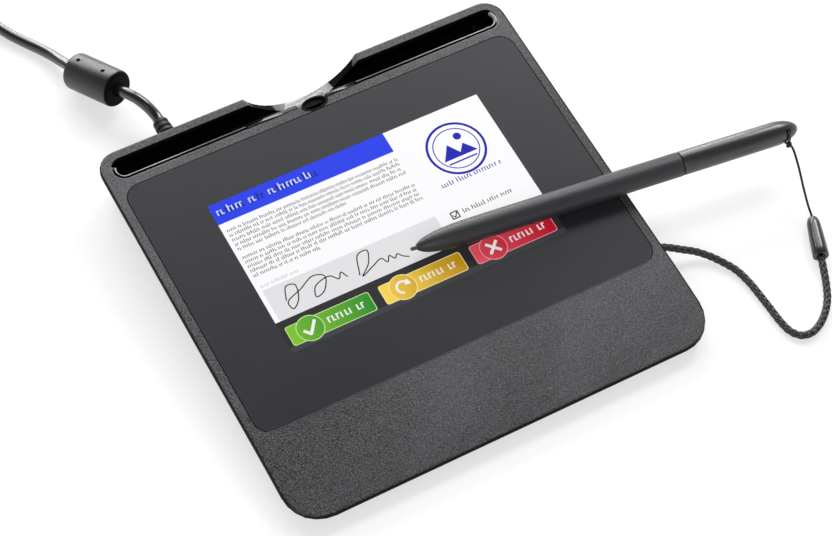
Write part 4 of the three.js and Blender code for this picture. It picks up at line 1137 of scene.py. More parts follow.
@dataclass
class Studio:
    """The pale floor, the soft lamps and the white surroundings."""

    floor_size: float = 4.0
    floor_paint: float = 0.46
    floor_dimmer: float = 0.98
    floor_cloud: float = 3.0
    floor_glow: float = 0.6
    world_strength: float = 0.34
    ceiling_band: Flat = (0.15, 0.7)
    ceiling_shade: float = 0.12
    lamps: tuple[SoftBox, ...] = (
        SoftBox("right soft box", (0.95, 0.65, 1.05), (0.55, 0.55), 9.5),
        SoftBox("upper soft box", (0.25, 0.95, 1.2), (0.8, 0.55), 5.0),
        SoftBox("front fill", (-0.55, -0.95, 0.9), (0.7, 0.7), 4.5),
        SoftBox("rear strip", (0.12, 1.25, 0.68), (1.3, 0.3), 11.0),
        SoftBox("low rear strip", (0.3, 1.35, 0.24), (1.1, 0.2), 7.0),
    )

    def build(self) -> None:
        """Makes the floor, the lamps and the world."""
        self._world()
        self._floor()
        for lamp in self.lamps:
            lamp.build()

    def _background_rays(self, sheet: NodeSheet) -> Socket:
        """Picks out the rays that show the background: seen, mirrored or passed through glass.

        Args:
            sheet: The tree that asks.

        Returns:
            A socket that is 1 for those rays.
        """
        rays = sheet.add("ShaderNodeLightPath").outputs
        shown = sheet.math("MAXIMUM", rays["Is Camera Ray"], rays["Is Glossy Ray"])
        return sheet.math("MAXIMUM", shown, rays["Is Transmission Ray"])

    def _world(self) -> None:
        """Lights the scene evenly, and shows white round it, with a darker ceiling."""
        world = bpy.data.worlds.new("studio")
        bpy.context.scene.world = world
        world.use_nodes = True
        sheet = NodeSheet(world.node_tree)
        world.node_tree.nodes.clear()
        plain = sheet.add("ShaderNodeBackground")
        plain.inputs["Strength"].default_value = self.world_strength
        seen = sheet.add("ShaderNodeBackground")
        where = sheet.add("ShaderNodeTexCoord")
        parts = sheet.add("ShaderNodeSeparateXYZ")
        sheet.join(where.outputs["Generated"], parts.inputs[0])
        rise = sheet.ramp(parts.outputs[2], *self.ceiling_band, 1.0, self.ceiling_shade)
        sheet.join(rise, seen.inputs["Strength"])
        mix = sheet.add("ShaderNodeMixShader")
        sheet.join(self._background_rays(sheet), mix.inputs[0])
        sheet.join(plain.outputs[0], mix.inputs[1])
        sheet.join(seen.outputs[0], mix.inputs[2])
        output = sheet.add("ShaderNodeOutputWorld")
        sheet.join(mix.outputs[0], output.inputs["Surface"])

    def _floor(self) -> None:
        """Lays a white floor that keeps the object's shadow."""
        half = self.floor_size / 2
        signs = ((-1, -1), (1, -1), (1, 1), (-1, 1))
        corners = [Vector((half * x, half * y, 0.0)) for x, y in signs]
        floor = link_piece("floor", mesh_of("floor", corners, [[0, 1, 2, 3]], False))
        floor.data.materials.append(self._floor_material())

    def _floor_material(self) -> Material:
        """Makes the floor's material: dull paint that looks white where it shows as background.

        Returns:
            The material.
        """
        made = bpy.data.materials.new("white floor")
        made.use_nodes = True
        sheet = NodeSheet(made.node_tree)
        made.node_tree.nodes.clear()
        paint = sheet.add("ShaderNodeBsdfDiffuse")
        noise = sheet.add("ShaderNodeTexNoise")
        noise.inputs["Scale"].default_value = self.floor_cloud
        paler = (self.floor_paint,) * 3
        darker = (self.floor_dimmer * self.floor_paint,) * 3
        sheet.join(sheet.blend(noise.outputs["Fac"], paler, darker), paint.inputs["Color"])
        glow = sheet.add("ShaderNodeEmission")
        strength = sheet.math("MULTIPLY", self._background_rays(sheet), self.floor_glow)
        sheet.join(strength, glow.inputs["Strength"])
        both = sheet.add("ShaderNodeAddShader")
        sheet.join(paint.outputs[0], both.inputs[0])
        sheet.join(glow.outputs[0], both.inputs[1])
        output = sheet.add("ShaderNodeOutputMaterial")
        sheet.join(both.outputs[0], output.inputs["Surface"])
        return made


@dataclass
class DataCable:
    """The captive cable from its boot to its plug, wound outside the view.

    Lengths are in millimetres, and places are over the table, from the picture's middle.
    """

    diameter: float = 4.2
    exit: Point = (-49.6, 80.94, 8.2)
    lead: tuple[Point, ...] = (
        (-49.6, 80.7, 8.2),
        (-49.65, 83.1, 8.4),
        (-50.1, 85.1, 9.1),
        (-50.8, 87.0, 10.0),
        (-51.7, 88.9, 10.9),
        (-52.75, 90.9, 11.6),
        (-53.9, 92.9, 12.05),
        (-55.15, 94.95, 12.15),
        (-56.36, 97.0, 11.88),
        (-57.38, 99.26, 11.33),
        (-60.6, 106.38, 9.59),
        (-66.07, 118.44, 6.64),
    )
    run: tuple[Point, ...] = (
        (-67.54, 124.18, 5.0),
        (-68.56, 127.51, 4.1),
        (-69.59, 130.77, 3.4),
        (-70.78, 133.66, 2.9),
        (-72.04, 136.35, 2.6),
        (-73.39, 138.84, 2.4),
        (-76.21, 143.48, 2.3),
        (-78.99, 148.24, 2.3),
        (-80.7, 151.74, 2.3),
        (-83.5, 158.3, 2.3),
        (-86.2, 165.8, 2.6),
        (-87.3, 172.6, 3.1),
        (-86.4, 179.3, 3.2),
    )
    tail: tuple[Point, ...] = (
        (-153.3, 191.2, 17.3),
        (-153.5, 184.0, 16.2),
        (-154.3, 174.0, 11.0),
        (-154.8, 164.0, 5.8),
        (-155.0, 157.0, 4.3),
        (-155.0, 152.4, 4.1),
    )
    coil_centre: Flat = (-118.0, 196.0)
    coil_inner: float = 14.6
    coil_pitch: float = 4.72
    coil_low: float = 3.2
    turns_per_layer: float = 4.389
    layers: int = 4
    start_deg: float = -20.0
    climb_turns: float = 0.5
    steps_per_turn: int = 40
    bead_ends: tuple[Point, Point] = ((-57.38, 99.26, 11.33), (-66.24, 118.82, 6.55))
    bead_radius: float = 7.0
    bead_length: float = 22.0
    pin_radius: float = 0.8
    pin_depth: float = 1.0
    pin_spread: float = 6.1
    pin_shift: float = 0.7
    bead_edge: float = 1.6
    bead_mouth: tuple[Flat, ...] = ((1.0, 0.0), (1.0, 2.4), (0.0, 2.6))
    bead_end_turn: float = 0.6
    boot_wall: float = 67.54
    boot_root: Flat = (-2.2, 3.2)
    collar: Flat = (0.3, 1.9)
    collar_radius: float = 4.1
    collar_edge: Flat = (0.2, 0.3)
    ribs: int = 5
    rib_pitch: float = 2.3
    rib_groove: Flat = (0.8, 2.6)
    rib_radii: Flat = (3.6, 2.9)
    rib_edge: float = 0.25
    spacing: float = 1.2

    def coil_point(self, turns: float) -> Point:
        """Gives a point of the wound cable's centre line.

        Args:
            turns: How many turns have been wound.

        Returns:
            The place over the table in millimetres.
        """
        layer = turns / self.turns_per_layer
        whole = math.floor(layer)
        part = layer - whole
        inward = part if whole % 2 == 0 else 1 - part
        reach = self.turns_per_layer * self.coil_pitch
        radius = self.coil_inner + reach - inward * reach
        nearest = round(layer)
        offset = (layer - nearest) * self.turns_per_layer
        settled = float(min(whole, self.layers - 1))
        if 0 < nearest < self.layers and abs(offset) < self.climb_turns / 2:
            settled = nearest - 1 + (1 + math.sin(offset / self.climb_turns * math.pi)) / 2
        angle = math.radians(self.start_deg) + turns * 2 * math.pi
        x, y = self.coil_centre
        height = self.coil_low + settled * self.coil_pitch
        return (x + radius * math.cos(angle), y + radius * math.sin(angle), height)

    def route(self) -> list[Vector]:
        """Gives the whole centre line from the boot to the plug.

        Returns:
            Its points in metres.
        """
        total = self.layers * self.turns_per_layer
        steps = round(total * self.steps_per_turn)
        coil = [self.coil_point(total * i / steps) for i in range(steps + 1)]
        spacing = self.spacing * MM
        loose = smooth_route(TABLE.points([*self.lead, *self.run, *coil[:3]]), spacing)
        wound = TABLE.points(coil[3:-2])
        last = smooth_route(TABLE.points([*coil[-2:], *self.tail]), spacing)
        return [*loose, *wound, *last]

    def build(self) -> None:
        """Builds the cable, its boot, its bead and its plug."""
        boot = self._boot()
        bead = self._bead()
        tie = softened("coil_tie", "coil_strap", BLACK_RUBBER, 0.3)
        handle = softened("plug_body", "plug_grip", BLACK_RUBBER, 0.5)
        shield = softened("plug_shell", "plug_sleeve", PLUG_METAL, 0.12)
        points = self.route()
        radius = self.diameter * MM / 2
        mesh = swept_tube(points, 16, lambda along, angle: radius, "data_cable")
        cable = add_piece("data_cable", mesh, CABLE_JACKET, Body.PAD)
        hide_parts("cable_lead", "cable_run", "cable_coil", "cable_tail")
        TABLE.point(self.exit)

    def _boot(self) -> Piece:
        """Builds the ribbed strain relief at the rear wall.

        Returns:
            The new piece.
        """
        root, root_radius = self.boot_root
        first, last = self.collar
        bevel, step = self.collar_edge
        radius = self.collar_radius
        profile: list[Flat] = [(root, 0.0), (root, root_radius), (first, root_radius)]
        profile += [(first, radius - step), (first + bevel, radius)]
        profile += [(last - bevel, radius), (last, radius - step)]
        groove, core = self.rib_groove
        edge, pitch = self.rib_edge, self.rib_pitch
        thick, thin = self.rib_radii
        for i in range(self.ribs):
            start = last + i * pitch
            radius = thick + (thin - thick) * i / (self.ribs - 1)
            rise, fall = start + groove, start + pitch
            profile += [(start, core), (rise, core), (rise, radius - edge)]
            profile += [(rise + edge, radius), (fall - edge, radius), (fall, radius - edge)]
        profile.append((last + self.ribs * pitch, 0.0))
        x, _, z = self.exit
        place = Matrix.Translation(TABLE.point((x, self.boot_wall, z)))
        place = place @ Matrix.Rotation(math.pi / 2, 4, "Z") @ Matrix.Scale(MM, 4)
        mesh = lathe(profile, 40, place, "cable_relief")
        piece = add_piece("cable_relief", mesh, BLACK_RUBBER, Body.PAD)
        sharpen(piece)
        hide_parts("cable_boot")
        return piece

    def _bead(self) -> Piece:
        """Builds the suppressor bead's moulded cover with its two pin holes and painted shade on
        its ends.

        Returns:
            The new piece.
        """
        ends = TABLE.points(self.bead_ends)
        axis = (ends[1] - ends[0]).normalized()
        aim = (ends[1] - ends[0]).to_track_quat("X", "Z").to_matrix().to_4x4()
        place = Matrix.Translation((ends[0] + ends[1]) / 2) @ aim @ Matrix.Scale(MM, 4)
        half, radius, edge = self.bead_length / 2, self.bead_radius, self.bead_edge
        profile: list[Flat] = [(along - half, size) for along, size in self.bead_mouth]
        steps = 6
        for i in range(steps + 1):
            turn = math.pi / 2 * i / steps
            along = -half + edge * (1 - math.cos(turn))
            profile.append((along, radius - edge * (1 - math.sin(turn))))
        mirrored = [(-along, size) for along, size in reversed(profile)]
        mesh = lathe([*profile, *mirrored], 64, place, "bead_shell")
        cover = add_piece("bead_shell", mesh, BEAD_SKIN, Body.PAD)
        sharpen(cover)
        # Paints shade on the faces that look along the axis: the ends
        add_finishes(cover, BEAD_END_SHADE)
        for face in mesh.polygons:
            if abs(face.normal.dot(axis)) > self.bead_end_turn:
                face.material_index = SECOND_FINISH
        for side in (-1.0, 1.0):
            along = self.pin_shift + side * self.pin_spread
            spot = place @ Matrix.Translation((along, 0.0, radius - self.pin_depth))
            spot = spot @ Matrix.Rotation(-math.pi / 2, 4, "Y")
            drill(cover, self.pin_radius, 3 * self.pin_depth, spot)
        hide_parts("bead_cover")
        return cover


@dataclass
class Pen:
    """The pen lying on the glass, with its nib, and the string's loop and knot at its cap.

    Lengths are in millimetres, and places along the pen are counted from its tip.
    """

    tip: Flat = (-0.44, -16.61)
    turn_deg: float = -6.48
    radius: float = 4.45
    cap_radius: float = 4.4
    rest_gap: float = 0.3
    length: float = 150.6
    nose: float = 34.0
    nose_start: float = 2.0
    nose_power: float = 4.0
    nose_steps: int = 36
    nose_crowding: float = 1.3
    mouth_start: float = 2.6
    mouth_depth: float = 1.2
    mouth_gap: float = 0.25
    mouth_edge: Flat = (0.05, 0.2)
    seam: float = 103.5
    seam_gap: float = 0.3
    seam_edge: tuple[Flat, ...] = ((0.35, 0.0), (0.1, 0.1), (0.0, 0.3))
    dome: float = 10.0
    dome_steps: int = 16
    hole_back: float = 5.2
    hole_turn_deg: float = 40.0
    hole_radius: float = 1.1
    hole_reach: float = 6.0
    nib_radius: float = 0.75
    nib_nose: tuple[Flat, ...] = ((0.0, 0.0), (0.04, 0.28), (0.18, 0.5), (0.45, 0.68))
    nib_shoulder: float = 0.9
    nib_length: float = 33.0
    string_radius: float = 0.45
    loop: tuple[Flat, ...] = (
        (0.0, -3.0),
        (0.0, 0.0),
        (0.0, 3.0),
        (-0.3, 4.1),
        (-1.5, 4.25),
        (-3.1, 3.2),
        (-4.2, 1.5),
        (-4.45, 0.0),
        (-4.2, -1.5),
        (-3.1, -3.2),
        (-1.5, -4.25),
        (-0.3, -4.1),
    )
    knot: Flat = (-4.9, 1.7)

    def matrix(self) -> Matrix:
        """Takes millimetres from the pen's tip, along its axis, to the shared frame."""
        place = Matrix.Translation((self.tip[0], self.tip[1], self.radius + self.rest_gap))
        return DECK.matrix() @ place @ Matrix.Rotation(math.radians(self.turn_deg), 4, "Z")

    def hole_matrix(self) -> Matrix:
        """Takes the same, turned round the pen's axis to the string's hole, to the shared frame."""
        return self.matrix() @ Matrix.Rotation(math.radians(self.hole_turn_deg), 4, "X")

    def nose_radius(self, along: float) -> float:
        """Gives the barrel's radius at a place.

        Args:
            along: The distance from the tip.

        Returns:
            The radius, which grows over the nose and then stays.
        """
        share = 1 - (along - self.nose_start) / self.nose
        if share <= 0:
            return self.radius
        return self.radius * math.sqrt(max(0.0, 1 - share**self.nose_power))

    def build(self) -> None:
        """Builds the barrel, the cap, the nib, the loop and the knot."""
        self._barrel()
        self._cap()
        self._nib()
        self._loop()

    def _barrel(self) -> None:
        """Builds the barrel with its long rounded nose."""
        start, mouth = self.mouth_start, self.nib_radius + self.mouth_gap
        floor = start + self.mouth_depth
        out, up = self.mouth_edge
        profile: list[Flat] = [(floor, 0.0), (floor, mouth), (start, mouth)]
        profile.append((start - out, mouth + up))
        span = self.nose_start + self.nose - start
        for i in range(self.nose_steps + 1):
            along = start + span * (i / self.nose_steps) ** self.nose_crowding
            profile.append((along, self.nose_radius(along)))
        profile += [(self.seam - back, self.radius - down) for back, down in self.seam_edge]
        profile.append((self.seam, 0.0))
        mesh = lathe(profile, 72, self.matrix(), "pen_shaft")
        piece = add_piece("pen_shaft", mesh, PEN_SKIN, Body.PEN)
        sharpen(piece)
        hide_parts("pen_barrel")

    def _cap(self) -> None:
        """Builds the glossier rear part with its dome and the string's cross hole."""
        start, radius = self.seam + self.seam_gap, self.cap_radius
        profile: list[Flat] = [(start, 0.0)]
        profile += [(start + back, radius - down) for back, down in reversed(self.seam_edge)]
        for i in range(self.dome_steps + 1):
            turn = math.pi / 2 * i / self.dome_steps
            along = self.length - self.dome + self.dome * math.sin(turn)
            profile.append((along, radius * math.cos(turn)))
        mesh = lathe(profile, 72, self.matrix(), "pen_rear")
        piece = add_piece("pen_rear", mesh, CAP_SKIN, Body.PEN)
        sharpen(piece)
        bore = Matrix.Translation((self.length - self.hole_back, 0.0, -self.hole_reach))
        bore = self.hole_matrix() @ bore @ Matrix.Rotation(-math.pi / 2, 4, "Y")
        drill(piece, self.hole_radius, 2 * self.hole_reach, bore)
        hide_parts("pen_cap")

    def _nib(self) -> None:
        """Builds the small nib."""
        start, end, radius = self.nib_shoulder, self.nib_length, self.nib_radius
        rod: list[Flat] = [(start, radius), (end, radius), (end, 0.0)]
        mesh = lathe([*self.nib_nose, *rod], 32, self.matrix(), "pen_point")
        piece = add_piece("pen_point", mesh, NIB_SKIN, Body.NIB)
        sharpen(piece, 50.0)
        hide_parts("pen_nib")

    def _loop(self) -> None:
        """Builds the string's loop through the cap, and its knot."""
        along = self.length - self.hole_back
        corners = [self.hole_matrix() @ Vector((along, y, z)) for y, z in self.loop]
        ring = smooth_route([*corners[-2:], *corners, *corners[:2]], 0.25 * MM)
        away = [(place - corners[0]).length for place in ring]
        start = min(range(len(ring)), key=away.__getitem__)
        end = min(range(start + 8, len(ring)), key=away.__getitem__)
        surface = TwistedString(self.string_radius).surface
        mesh = swept_tube(ring[start:end], 12, surface, "string_loop", True)
        piece = add_piece("string_loop", mesh, STRING_YARN, Body.PEN)
        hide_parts("pen_loop")
        centre = self.hole_matrix() @ Vector((along, *self.knot))
        add_piece("string_knot", StringKnot().mesh(centre, "string_knot"), STRING_YARN, Body.PEN)


@dataclass(frozen=True)
class TwistedString:
    """The surface of a string laid from yarns; its sizes are in millimetres."""

    radius: float
    pitch: float = 2.4
    yarns: int = 3
    relief: float = 0.12

    def surface(self, along: float, angle: float) -> float:
        """Gives the string's radius at one place.

        Args:
            along: The distance along the string, in metres.
            angle: The angle round it.

        Returns:
            The radius in metres.
        """
        turn = along / (self.pitch * MM) * 2 * math.pi
        ridge = abs(math.cos(self.yarns / 2 * (angle - turn)))
        return self.radius * MM * (1 - self.relief + self.relief * ridge)


@dataclass(frozen=True)
class StringKnot:
    """A small tight knot: one strand that winds twice round over itself."""

    radius: float = 1.15
    strand: float = 0.46
    swing: float = 0.32
    squeeze: float = 0.8
    height: float = 0.5
    steps: int = 72
    sides: int = 10

    def mesh(self, centre: Vector, name: str) -> Mesh:
        """Winds the strand.

        Args:
            centre: The knot's middle, in metres.
            name: The mesh's name.

        Returns:
            The mesh.
        """
        points = []
        for i in range(self.steps):
            turn = 2 * math.pi * i / self.steps
            ring = self.radius - self.strand + self.swing * self.radius * math.cos(3 * turn)
            x = ring * math.cos(2 * turn) * self.squeeze
            y = ring * math.sin(2 * turn) * self.squeeze
            z = self.height * self.radius * math.sin(3 * turn)
            points.append(centre + Vector((x, y, z)) * MM)
        return swept_tube(points, self.sides, lambda along, angle: self.strand * MM, name, True)


@dataclass
class Tether:
    """The braided tether from the pad's side to the coupler, and the string to the pen.

    Lengths are in millimetres, and places are over the table, from the picture's middle.
    """

    diameter: float = 2.8
    strands: int = 4
    braid_pitch: float = 10.0
    braid_depth: float = 0.3
    braid_dip: float = 0.5
    string_diameter: float = 0.9
    exit: Point = (81.7, -50.3, 6.4)
    braid: tuple[Point, ...] = (
        (81.0, -50.3, 6.4),
        (81.9, -50.3, 6.4),
        (83.2, -50.5, 6.3),
        (84.7, -51.2, 6.0),
        (86.9, -52.4, 5.5),
        (89.3, -53.7, 4.8),
        (93.5, -55.8, 3.5),
        (97.6, -59.3, 2.3),
        (100.6, -63.3, 1.6),
        (103.0, -68.1, 1.4),
        (104.2, -74.4, 1.4),
        (104.5, -80.7, 1.4),
        (104.6, -87.4, 1.4),
        (104.7, -94.1, 1.4),
        (105.5, -98.8, 1.4),
        (107.8, -101.9, 1.4),
        (111.4, -102.8, 1.4),
        (116.0, -101.3, 1.4),
        (120.3, -98.3, 1.4),
        (124.2, -94.2, 1.4),
        (127.0, -89.7, 1.6),
        (129.2, -85.1, 2.2),
        (131.1, -80.6, 2.9),
        (132.3, -78.0, 3.05),
    )
    coupler: tuple[Point, Point] = ((132.1, -78.4, 3.05), (138.85, -62.8, 3.3))
    coupler_rear: tuple[Flat, ...] = (
        (0.6, 0.0),
        (0.6, 1.5),
        (0.0, 1.7),
        (0.0, 2.55),
        (0.12, 2.8),
        (0.4, 2.92),
        (3.0, 2.9),
        (8.0, 2.75),
    )
    nose_middle: Flat = (12.6, 1.15)
    nose_half: Flat = (4.2, 1.35)
    nose_steps: int = 10
    coupler_mouth: tuple[Flat, ...] = ((16.9, 0.9), (16.5, 0.75), (16.5, 0.0))
    string: tuple[Point, ...] = (
        (137.8, -65.2, 3.25),
        (139.0, -62.45, 3.35),
        (139.7, -58.6, 5.0),
        (140.6, -53.6, 8.3),
        (142.65, -45.7, 12.4),
        (143.7, -39.6, 15.0),
        (143.5, -38.2, 14.7),
    )

    def build(self) -> None:
        """Builds the bush, the braid, the coupler and the string."""
        softened("tether_bush", "tether_grommet", BLACK_RUBBER, 0.15)
        coupler = self._coupler()
        points = smooth_route(TABLE.points(self.braid), 0.14 * MM)
        mesh = swept_tube(points, 56, self.braid_surface, "tether_cord")
        cord = self._flexible("tether_cord", mesh, BRAID_YARN)
        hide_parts("tether_braid")
        TABLE.point(self.exit)
        line = smooth_route(TABLE.points(self.string), 0.25 * MM)
        surface = TwistedString(self.string_diameter / 2).surface
        mesh = swept_tube(line, 12, surface, "tether_line")
        string = self._flexible("tether_line", mesh, STRING_YARN)
        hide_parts("tether_string")
        TABLE.point(self.coupler[1])

    def braid_surface(self, along: float, angle: float) -> float:
        """Gives the braid's relief: two sets of strands that pass over each other in diamonds.

        Args:
            along: The distance along the braid, in metres.
            angle: The angle round it.

        Returns:
            The radius in metres.
        """
        turn = along / (self.braid_pitch * MM) * 2 * math.pi
        first = abs(math.cos(self.strands / 2 * (angle + turn)))
        second = abs(math.cos(self.strands / 2 * (angle - turn)))
        over = math.cos(self.strands * angle) * math.cos(self.strands * turn) > 0
        raised = max(first - self.braid_dip * over, second - self.braid_dip * (not over))
        return self.diameter / 2 * MM * (1 - self.braid_depth + self.braid_depth * raised)

    def _flexible(self, name: str, mesh: Mesh, finish: Finish, crisp: bool = False) -> Piece:
        """Makes a piece that lies between the pad and the pen, in the shared frame.

        Args:
            name: The piece's name.
            mesh: Its mesh.
            finish: What it is made of.
            crisp: Whether its hard edges are kept crisp.

        Returns:
            The new piece.
        """
        piece = link_piece(name, mesh, finish)
        if crisp:
            sharpen(piece)
        start, end = TABLE.points((self.exit, self.string[-1]))
        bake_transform(piece)
        return piece

    def _coupler(self) -> Piece:
        """Builds the tapered coupler between the braid and the string.

        Returns:
            The new piece.
        """
        ends = TABLE.points(self.coupler)
        aim = (ends[1] - ends[0]).to_track_quat("X", "Z").to_matrix().to_4x4()
        place = Matrix.Translation(ends[0]) @ aim @ Matrix.Scale(MM, 4)
        (along, size), (reach, swell) = self.nose_middle, self.nose_half
        turns = [math.pi / 2 * i / self.nose_steps for i in range(self.nose_steps + 1)]
        nose = [(along + reach * math.sin(t), size + swell * math.cos(t)) for t in turns]
        mesh = lathe([*self.coupler_rear, *nose, *self.coupler_mouth], 48, place, "tether_joint")
        piece = self._flexible("tether_joint", mesh, COUPLER_SKIN, crisp=True)
        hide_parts("tether_coupler")
        return piece


class Ink(Enum):
    """The colours of the lit picture."""

    PAGE = LitInk("ink page", srgb(250, 250, 252))
    HEADER = LitInk("ink header", srgb(36, 62, 232))
    TITLE = LitInk("ink title", srgb(214, 222, 252))
    TITLE_SHADE = LitInk("ink title shade", srgb(22, 32, 140))
    WRITING = LitInk("ink writing", srgb(34, 34, 38))
    FAINT = LitInk("ink faint writing", srgb(196, 196, 198))
    BOX = LitInk("ink signing box", srgb(226, 226, 228))
    STROKE = LitInk("ink signing stroke", srgb(22, 22, 24))
    EMBLEM = LitInk("ink emblem", srgb(22, 30, 176))
    STRIP = LitInk("ink button strip", srgb(44, 44, 47))
    STRIP_LOW = LitInk("ink strip foot", srgb(64, 64, 68))
    RIM_GREEN = LitInk("ink green rim", srgb(196, 226, 150))
    RIM_YELLOW = LitInk("ink yellow rim", srgb(244, 226, 150))
    RIM_RED = LitInk("ink red rim", srgb(240, 150, 160))
    WHITE = LitInk("ink white mark", srgb(244, 244, 240))


class Mark(Enum):
    """The plain marks on the buttons."""

    TICK = "tick"
    ARROW = "arrow"
    CROSS = "cross"


@dataclass(frozen=True)
class Button:
    """A button of the picture: its left edge, its rim, its two shades and its mark."""

    left: float
    rim: Ink
    light: Colour
    dark: Colour
    mark: Mark


def round_points(x: float, y: float, radius: float, turns: Iterable[float]) -> list[Flat]:
    """Gives points round a middle.

    Args:
        x: The middle's place to the right.
        y: The middle's place to the rear.
        radius: How far from it the points are.
        turns: Their angles in radians.

    Returns:
        The points.
    """
    return [(x + radius * math.cos(t), y + radius * math.sin(t)) for t in turns]


def full_turn(parts: int, closed: bool = False) -> list[float]:
    """Gives evenly spread angles in radians, the first one again at the end if closed."""
    return [2 * math.pi * k / parts for k in range(parts + closed)]


@dataclass
class Picture:
    """The picture on the glass: a page with greeked text, an emblem, a signing box and buttons.

    Places are in millimetres on the deck, from the picture's middle.
    """

    half_width: float = 54.0
    half_depth: float = 32.4
    clearance: float = 0.02
    layer_step: float = 0.012
    seed: int = 7
    strip_top: float = -19.6
    strip_foot: float = -30.2
    header_foot: float = 23.9
    text_left: float = -52.3
    text_right: float = 15.4
    box_top: float = -6.2
    title: tuple[Flat, ...] = ((-52.3, -41.9), (-40.0, -34.0), (-32.3, -12.8))
    title_middle: float = 28.35
    title_height: float = 2.1
    title_shade: float = 0.25
    rows: tuple[Flat, ...] = (
        (20.4, 15.4),
        (18.4, 15.0),
        (16.3, 15.2),
        (14.2, 15.2),
        (12.2, -9.3),
        (8.4, 15.4),
        (6.4, 15.0),
        (4.4, 15.2),
        (2.4, 15.4),
        (0.3, -26.2),
    )
    row_height: float = 1.02
    tick_box: tuple[Flat, ...] = (
        (20.7, -10.3),
        (23.4, -10.3),
        (23.4, -7.6),
        (20.7, -7.6),
        (20.7, -10.3),
    )
    tick: tuple[Flat, ...] = ((21.2, -8.9), (21.9, -9.8), (23.1, -8.0))
    emblem_middle: Flat = (36.1, 15.3)
    emblem_radii: Flat = (10.6, 8.4)
    scribbles: tuple[tuple[Flat, ...], ...] = (
        (
            (-46.6, -13.2),
            (-44.2, -8.2),
            (-41.2, -8.8),
            (-42.6, -14.6),
            (-45.8, -17.2),
            (-46.4, -14.2),
            (-40.2, -11.4),
            (-34.0, -8.6),
            (-30.4, -10.4),
            (-33.2, -15.6),
            (-36.6, -16.6),
            (-35.2, -12.8),
            (-29.0, -11.2),
            (-26.4, -13.6),
            (-24.8, -11.6),
            (-23.4, -14.2),
        ),
        (
            (-19.4, -15.6),
            (-16.2, -8.0),
            (-12.6, -7.8),
            (-14.4, -12.6),
            (-18.6, -16.4),
            (-13.6, -14.4),
            (-9.6, -13.0),
            (-8.2, -15.2),
            (-6.6, -13.2),
            (-5.2, -15.0),
            (-3.8, -13.8),
            (-2.4, -15.4),
            (-0.44, -16.61),
        ),
    )
    scribble_width: float = 0.42
    buttons: tuple[Button, ...] = (
        Button(-52.3, Ink.RIM_GREEN, srgb(128, 196, 48), srgb(36, 140, 40), Mark.TICK),
        Button(-16.4, Ink.RIM_YELLOW, srgb(250, 214, 84), srgb(196, 146, 12), Mark.ARROW),
        Button(19.5, Ink.RIM_RED, srgb(232, 84, 100), srgb(196, 16, 44), Mark.CROSS),
    )
    button_width: float = 32.2
    button_span: Flat = (-30.4, -22.4)
    button_rim: float = 0.3
    button_corners: Flat = (1.0, 0.8)
    disc_shift: float = 8.1
    disc_radii: Flat = (5.1, 4.75)
    disc_fade: Flat = (-4.0, 20.0)
    shapes: dict[str, tuple[LitInk, list[tuple[list[Flat], int]]]] = field(default_factory=dict)

    def add(self, ink: Ink | LitInk, layer: int, outline: list[Flat]) -> None:
        """Keeps a flat shape for later.

        Args:
            ink: Its Ink, or a LitInk of its own.
            layer: How many layers lie under it.
            outline: Its corners, counterclockwise.
        """
        finish = ink.value if isinstance(ink, Ink) else ink
        self.shapes.setdefault(finish.name, (finish, []))[1].append((outline, layer))

    def bar(
        self, ink: Ink, layer: int, left: float, right: float, low: float, high: float
    ) -> None:
        """Adds a plain bar.

        Args:
            ink: Its colour.
            layer: How many layers lie under it.
            left: Its left side.
            right: Its right side.
            low: Its front side.
            high: Its rear side.
        """
        self.add(ink, layer, [(left, low), (right, low), (right, high), (left, high)])

    def pill(
        self, ink: Ink | LitInk, layer: int, across: Flat, span: Flat, radius: float
    ) -> None:
        """Adds a bar with round corners.

        Args:
            ink: Its colour.
            layer: How many layers lie under it.
            across: Its left and right sides.
            span: Its front and rear sides.
            radius: The corners' radius.
        """
        left, right = across[0] + radius, across[1] - radius
        low, high = span[0] + radius, span[1] - radius
        corners = ((right, low, -90), (right, high, 0), (left, high, 90), (left, low, 180))
        outline: list[Flat] = []
        for x, y, start in corners:
            turns = (math.radians(start + 15 * step) for step in range(7))
            outline += round_points(x, y, radius, turns)
        self.add(ink, layer, outline)

    def disc(self, ink: Ink | LitInk, layer: int, x: float, y: float, radius: float) -> None:
        """Adds a disc.

        Args:
            ink: Its colour.
            layer: How many layers lie under it.
            x: Its middle's place to the right.
            y: Its middle's place to the rear.
            radius: Its radius.
        """
        self.add(ink, layer, round_points(x, y, radius, full_turn(40)))

    def stroke(
        self, ink: Ink, layer: int, line: Sequence[Flat], width: float, straight: bool = True
    ) -> None:
        """Adds a drawn line.

        Args:
            ink: Its colour.
            layer: How many layers lie under it.
            line: The points that it passes through.
            width: Its width.
            straight: Whether it goes straight from point to point, and not in a smooth curve.
        """
        spacing, cap_share = 0.25, 0.2
        places = [Vector((x, y, 0.0)) for x, y in line]
        path = places if straight else smooth_route(places, spacing)
        for a, b in zip(path, path[1:]):
            ahead = (b - a).normalized()
            side = Vector((-ahead.y, ahead.x, 0.0)) * width / 2
            cap = ahead * width * cap_share
            quad = [a - side - cap, b - side + cap, b + side + cap, a + side - cap]
            self.add(ink, layer, [(p.x, p.y) for p in quad])

